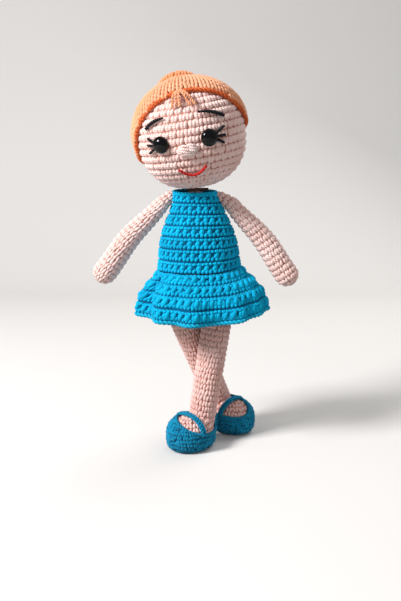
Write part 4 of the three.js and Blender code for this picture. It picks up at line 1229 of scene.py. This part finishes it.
def make_leg(side):
    """Leg and foot: a tapering limb down to the ankle and a smaller shoe form inside the shoe,
    both worked where the shoe's opening or its rim shows them."""
    hip = joint_place[f"{side}_leg_swing"]
    ankle = body_axis + [*FEET[side]["place"], ANKLE_HEIGHT]
    down = turn_between((0, 0, -1), unit(ankle - hip))
    surface = lathe(limb_profile(np.linalg.norm(ankle - hip), LEG_RADII), down, hip)

    def shows(points):
        over_shoe = shoe_reach(to_foot(points, side), LEG_OVER_SHOE) > 1
        return (inside_mouth(points, side, LEG_PAST_RIM) > 0) | over_shoe

    def foot_shows(points):
        outside_leg = np.linalg.norm((points - ankle)[..., :2], axis=-1) > LEG_RADII[-1] - FOOT_IN_LEG
        return (inside_mouth(points, side, FOOT_PAST_RIM) > 0) & outside_leg

    leg_stitches = worked(surface, LEG_STITCH, reach=0.56, keep=shows, lean=0.03)
    inset = SKIN_WALL + FIT
    foot = oval_surface(side, SHOE_LENGTH - 2 * inset, SHOE_WIDTH - 2 * inset, SOLE_THICKNESS + FIT,
                        SHOE_HEIGHT - inset)
    foot_stitches = worked(foot, LEG_STITCH, lift=FOOT_LIFT, keep=foot_shows)
    # The legs wear the rosier, darker copy of the skin yarn: painted warm shade under the skirt
    leg = make_piece(f"{side}_leg_skin", [skin(surface, columns=48, rows=80), leg_stitches], shaded_leg_cotton,
                     f"{side}_leg", cloths=1)
    foot_piece = make_piece(f"{side}_foot_skin", [skin(foot, 0.0, columns=48, rows=40), foot_stitches],
                            shaded_leg_cotton, f"{side}_leg", cloths=1)
    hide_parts(f"{side}_leg", f"{side}_leg_stuffing")
    make_shoe(side, hip, ankle)
    make_strap(side)


def make_shoe(side, hip, ankle):
    """Shoe: cloth, small uneven stitches left out at the opening, and a rope round its rim."""
    outer = oval_surface(side, SHOE_LENGTH, SHOE_WIDTH, -SOLE_FLAT, SHOE_HEIGHT)
    stitches = worked(outer, SHOE_STITCH, bulge=0.45, wander=0.2, loose=0.45,
                      keep=lambda p: inside_mouth(p, side, SHOE_PAST_RIM) < 0)
    points, faces, strands = shoe_shell(side)
    cloth = from_foot(points, side), faces, strands
    rim = from_foot(mouth_rim(side, 360, RIM_SINK, RIM_GROW), side)
    centre = from_foot(SHOE_MIDDLE - [MOUTHS[side][2], 0, 0], side)
    radius, pitch = RIM_ROPE
    rope = plied(rim, radius, unit(rim - centre), pitch=pitch, closed=True)
    parts = [fitted(shape, hip, ankle) for shape in [cloth, stitches, *rope]]
    shoe = make_piece(f"{side}_shoe_upper", parts, shoe_cotton, f"{side}_leg", cloths=1)
    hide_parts(f"{side}_shoe")


def shoe_shell(side):
    """Shoe wall from the rim over the outside, under the sole and back up inside: each ring lies
    between the rim and the pole under the foot, pushed onto the outer or the inner form."""
    columns, rows = 96, 30
    down = np.array([0.0, 0.0, -1.0])

    def wall(inset, depth):
        direction = unit(mouth_rim(side, columns, inset) - SHOE_MIDDLE)
        outwards = unit(direction - (direction @ down)[:, None] * down)
        angle = np.arccos(np.clip(direction @ down, -1, 1)) * np.linspace(1, 0.03, rows)[:, None]
        way = np.cos(angle)[..., None] * down + np.sin(angle)[..., None] * outwards
        reach = halved(lambda out: shoe_reach(SHOE_MIDDLE + way * out[..., None], -depth) < 1,
                       np.zeros(angle.shape), np.full(angle.shape, SHOE_LENGTH))
        return SHOE_MIDDLE + way * reach[..., None]

    return closed_wall([wall(0.0, SHOE_CLOTH)[::-1], wall(SKIN_WALL, SKIN_WALL)])


def make_strap(side):
    """Strap over the instep: a narrow strip of two twisted rows from rim to rim, following the
    shoe's outer form, its ends a little under the rim's rope."""
    length, width, setback = MOUTHS[side]
    radius, pitch = STRAP_ROPE
    shapes = []
    for share in (0.25, 0.75):
        x = STRAP_FRONT - STRAP_WIDTH * share
        half = width / 2 * math.sqrt(1 - ((x + setback) / (length / 2)) ** 2) + STRAP_TUCK
        y = np.linspace(-half, half, 70)
        path = up_to_shoe(x + 0 * y, y, side)
        outward = unit(path - [x, 0, 0]) @ foot_place(side)[0].T
        shapes += plied(from_foot(path, side), radius, outward, pitch=pitch)
    strap = make_piece(f"{side}_shoe_strap_rows", shapes, shoe_cotton, f"{side}_leg")
    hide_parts(f"{side}_shoe_strap")


make_head()
make_hair_cap()
make_hair_edging()
make_bun()
make_face()
make_fringe()
make_torso()
make_bodice()
make_skirt()
for side, sign in SIDES.items():
    make_arm(side, sign)
    make_leg(side)
    washer = frame["nodes"][f"{side}_eye_washer"].data
    washer.materials.clear()
    washer.materials.append(washer_polythene)

# Studio: a pale floor that curves up into a backdrop, soft key light from the upper left

FLOOR_SIDE, FLOOR_FRONT, FLOOR_BACK, CURVE, WALL_TOP = 2.5, -1.6, 0.5, 0.4, 2.2     # in metres


def make_studio():
    """Floor, a quarter circle behind it, and a wall, as one strip between two sides. It shows
    pale where the camera or a reflection sees it, and lights the doll less."""
    angle = np.linspace(0.02, math.pi / 2, 64)
    y = np.concatenate([[FLOOR_FRONT, FLOOR_BACK], FLOOR_BACK + CURVE * np.sin(angle), [FLOOR_BACK + CURVE]])
    z = np.concatenate([[0, 0], CURVE - CURVE * np.cos(angle), [WALL_TOP]])
    x = np.array([-FLOOR_SIDE, FLOOR_SIDE])
    points = np.stack(np.broadcast_arrays(x[None], y[:, None], z[:, None]), -1).reshape(-1, 3)
    mesh = bpy.data.meshes.new("studio_floor")
    mesh.from_pydata(points.tolist(), [], grid_faces(len(y), 2, close_columns=False).tolist())
    mesh.polygons.foreach_set("use_smooth", np.ones(len(mesh.polygons), bool))
    mesh.update()
    material, tree, shader = new_material("painted_studio_floor", Roughness=0.9)
    path = add_node(tree, "LightPath")
    seen = add_node(tree, "Math", {"operation": "MAXIMUM"},
                    _0=path.outputs["Is Camera Ray"], _1=path.outputs["Is Glossy Ray"])
    seen = add_node(tree, "Math", {"operation": "MAXIMUM"},
                    _0=seen.outputs[0], _1=path.outputs["Is Transmission Ray"])
    paint = add_node(tree, "Mix", {"data_type": "RGBA"},
                     _0=seen.outputs[0], _6=linear("a5a29e"), _7=linear("dedbd6"))
    tree.links.new(paint.outputs[2], shader.inputs["Base Color"])
    mesh.materials.append(material)
    floor = bpy.data.objects.new("studio_floor", mesh)
    bpy.context.scene.collection.objects.link(floor)


LIT_PLACE = np.array([0.0, 0.0, 0.11])     # the lamps point here, in metres


def make_lamp(name, place, size, power, colour, shines=True):
    """Square area lamp, turned to look at the doll."""
    data = bpy.data.lights.new(name, "AREA")
    data.size = size
    data.energy = power
    data.color = linear(colour)[:3]
    lamp = bpy.data.objects.new(name, data)
    lamp.location = place
    away = unit(np.array(place) - LIT_PLACE)
    lamp.rotation_euler = (math.acos(away[2]), 0, math.atan2(away[0], -away[1]))
    lamp.visible_glossy = shines
    bpy.context.scene.collection.objects.link(lamp)


def make_light():
    """A strong soft key, a weak fill that shows no highlight, a rim light from behind, pale air."""
    make_lamp("key_lamp", (-0.75, -0.45, 0.7), 0.28, 17.0, "fdfcff")
    make_lamp("fill_lamp", (0.7, -0.7, 0.35), 0.8, 0.8, "eef4ff", shines=False)
    make_lamp("back_lamp", (0.35, 0.42, 0.55), 0.5, 2.2, "ffffff", shines=False)
    world = bpy.data.worlds.new("studio_air")
    world.use_nodes = True
    back = world.node_tree.nodes["Background"]
    back.inputs["Color"].default_value = linear("f4f6fa")
    back.inputs["Strength"].default_value = 0.45
    bpy.context.scene.world = world


make_studio()
make_light()
bpy.context.scene.view_settings.view_transform = "Standard"
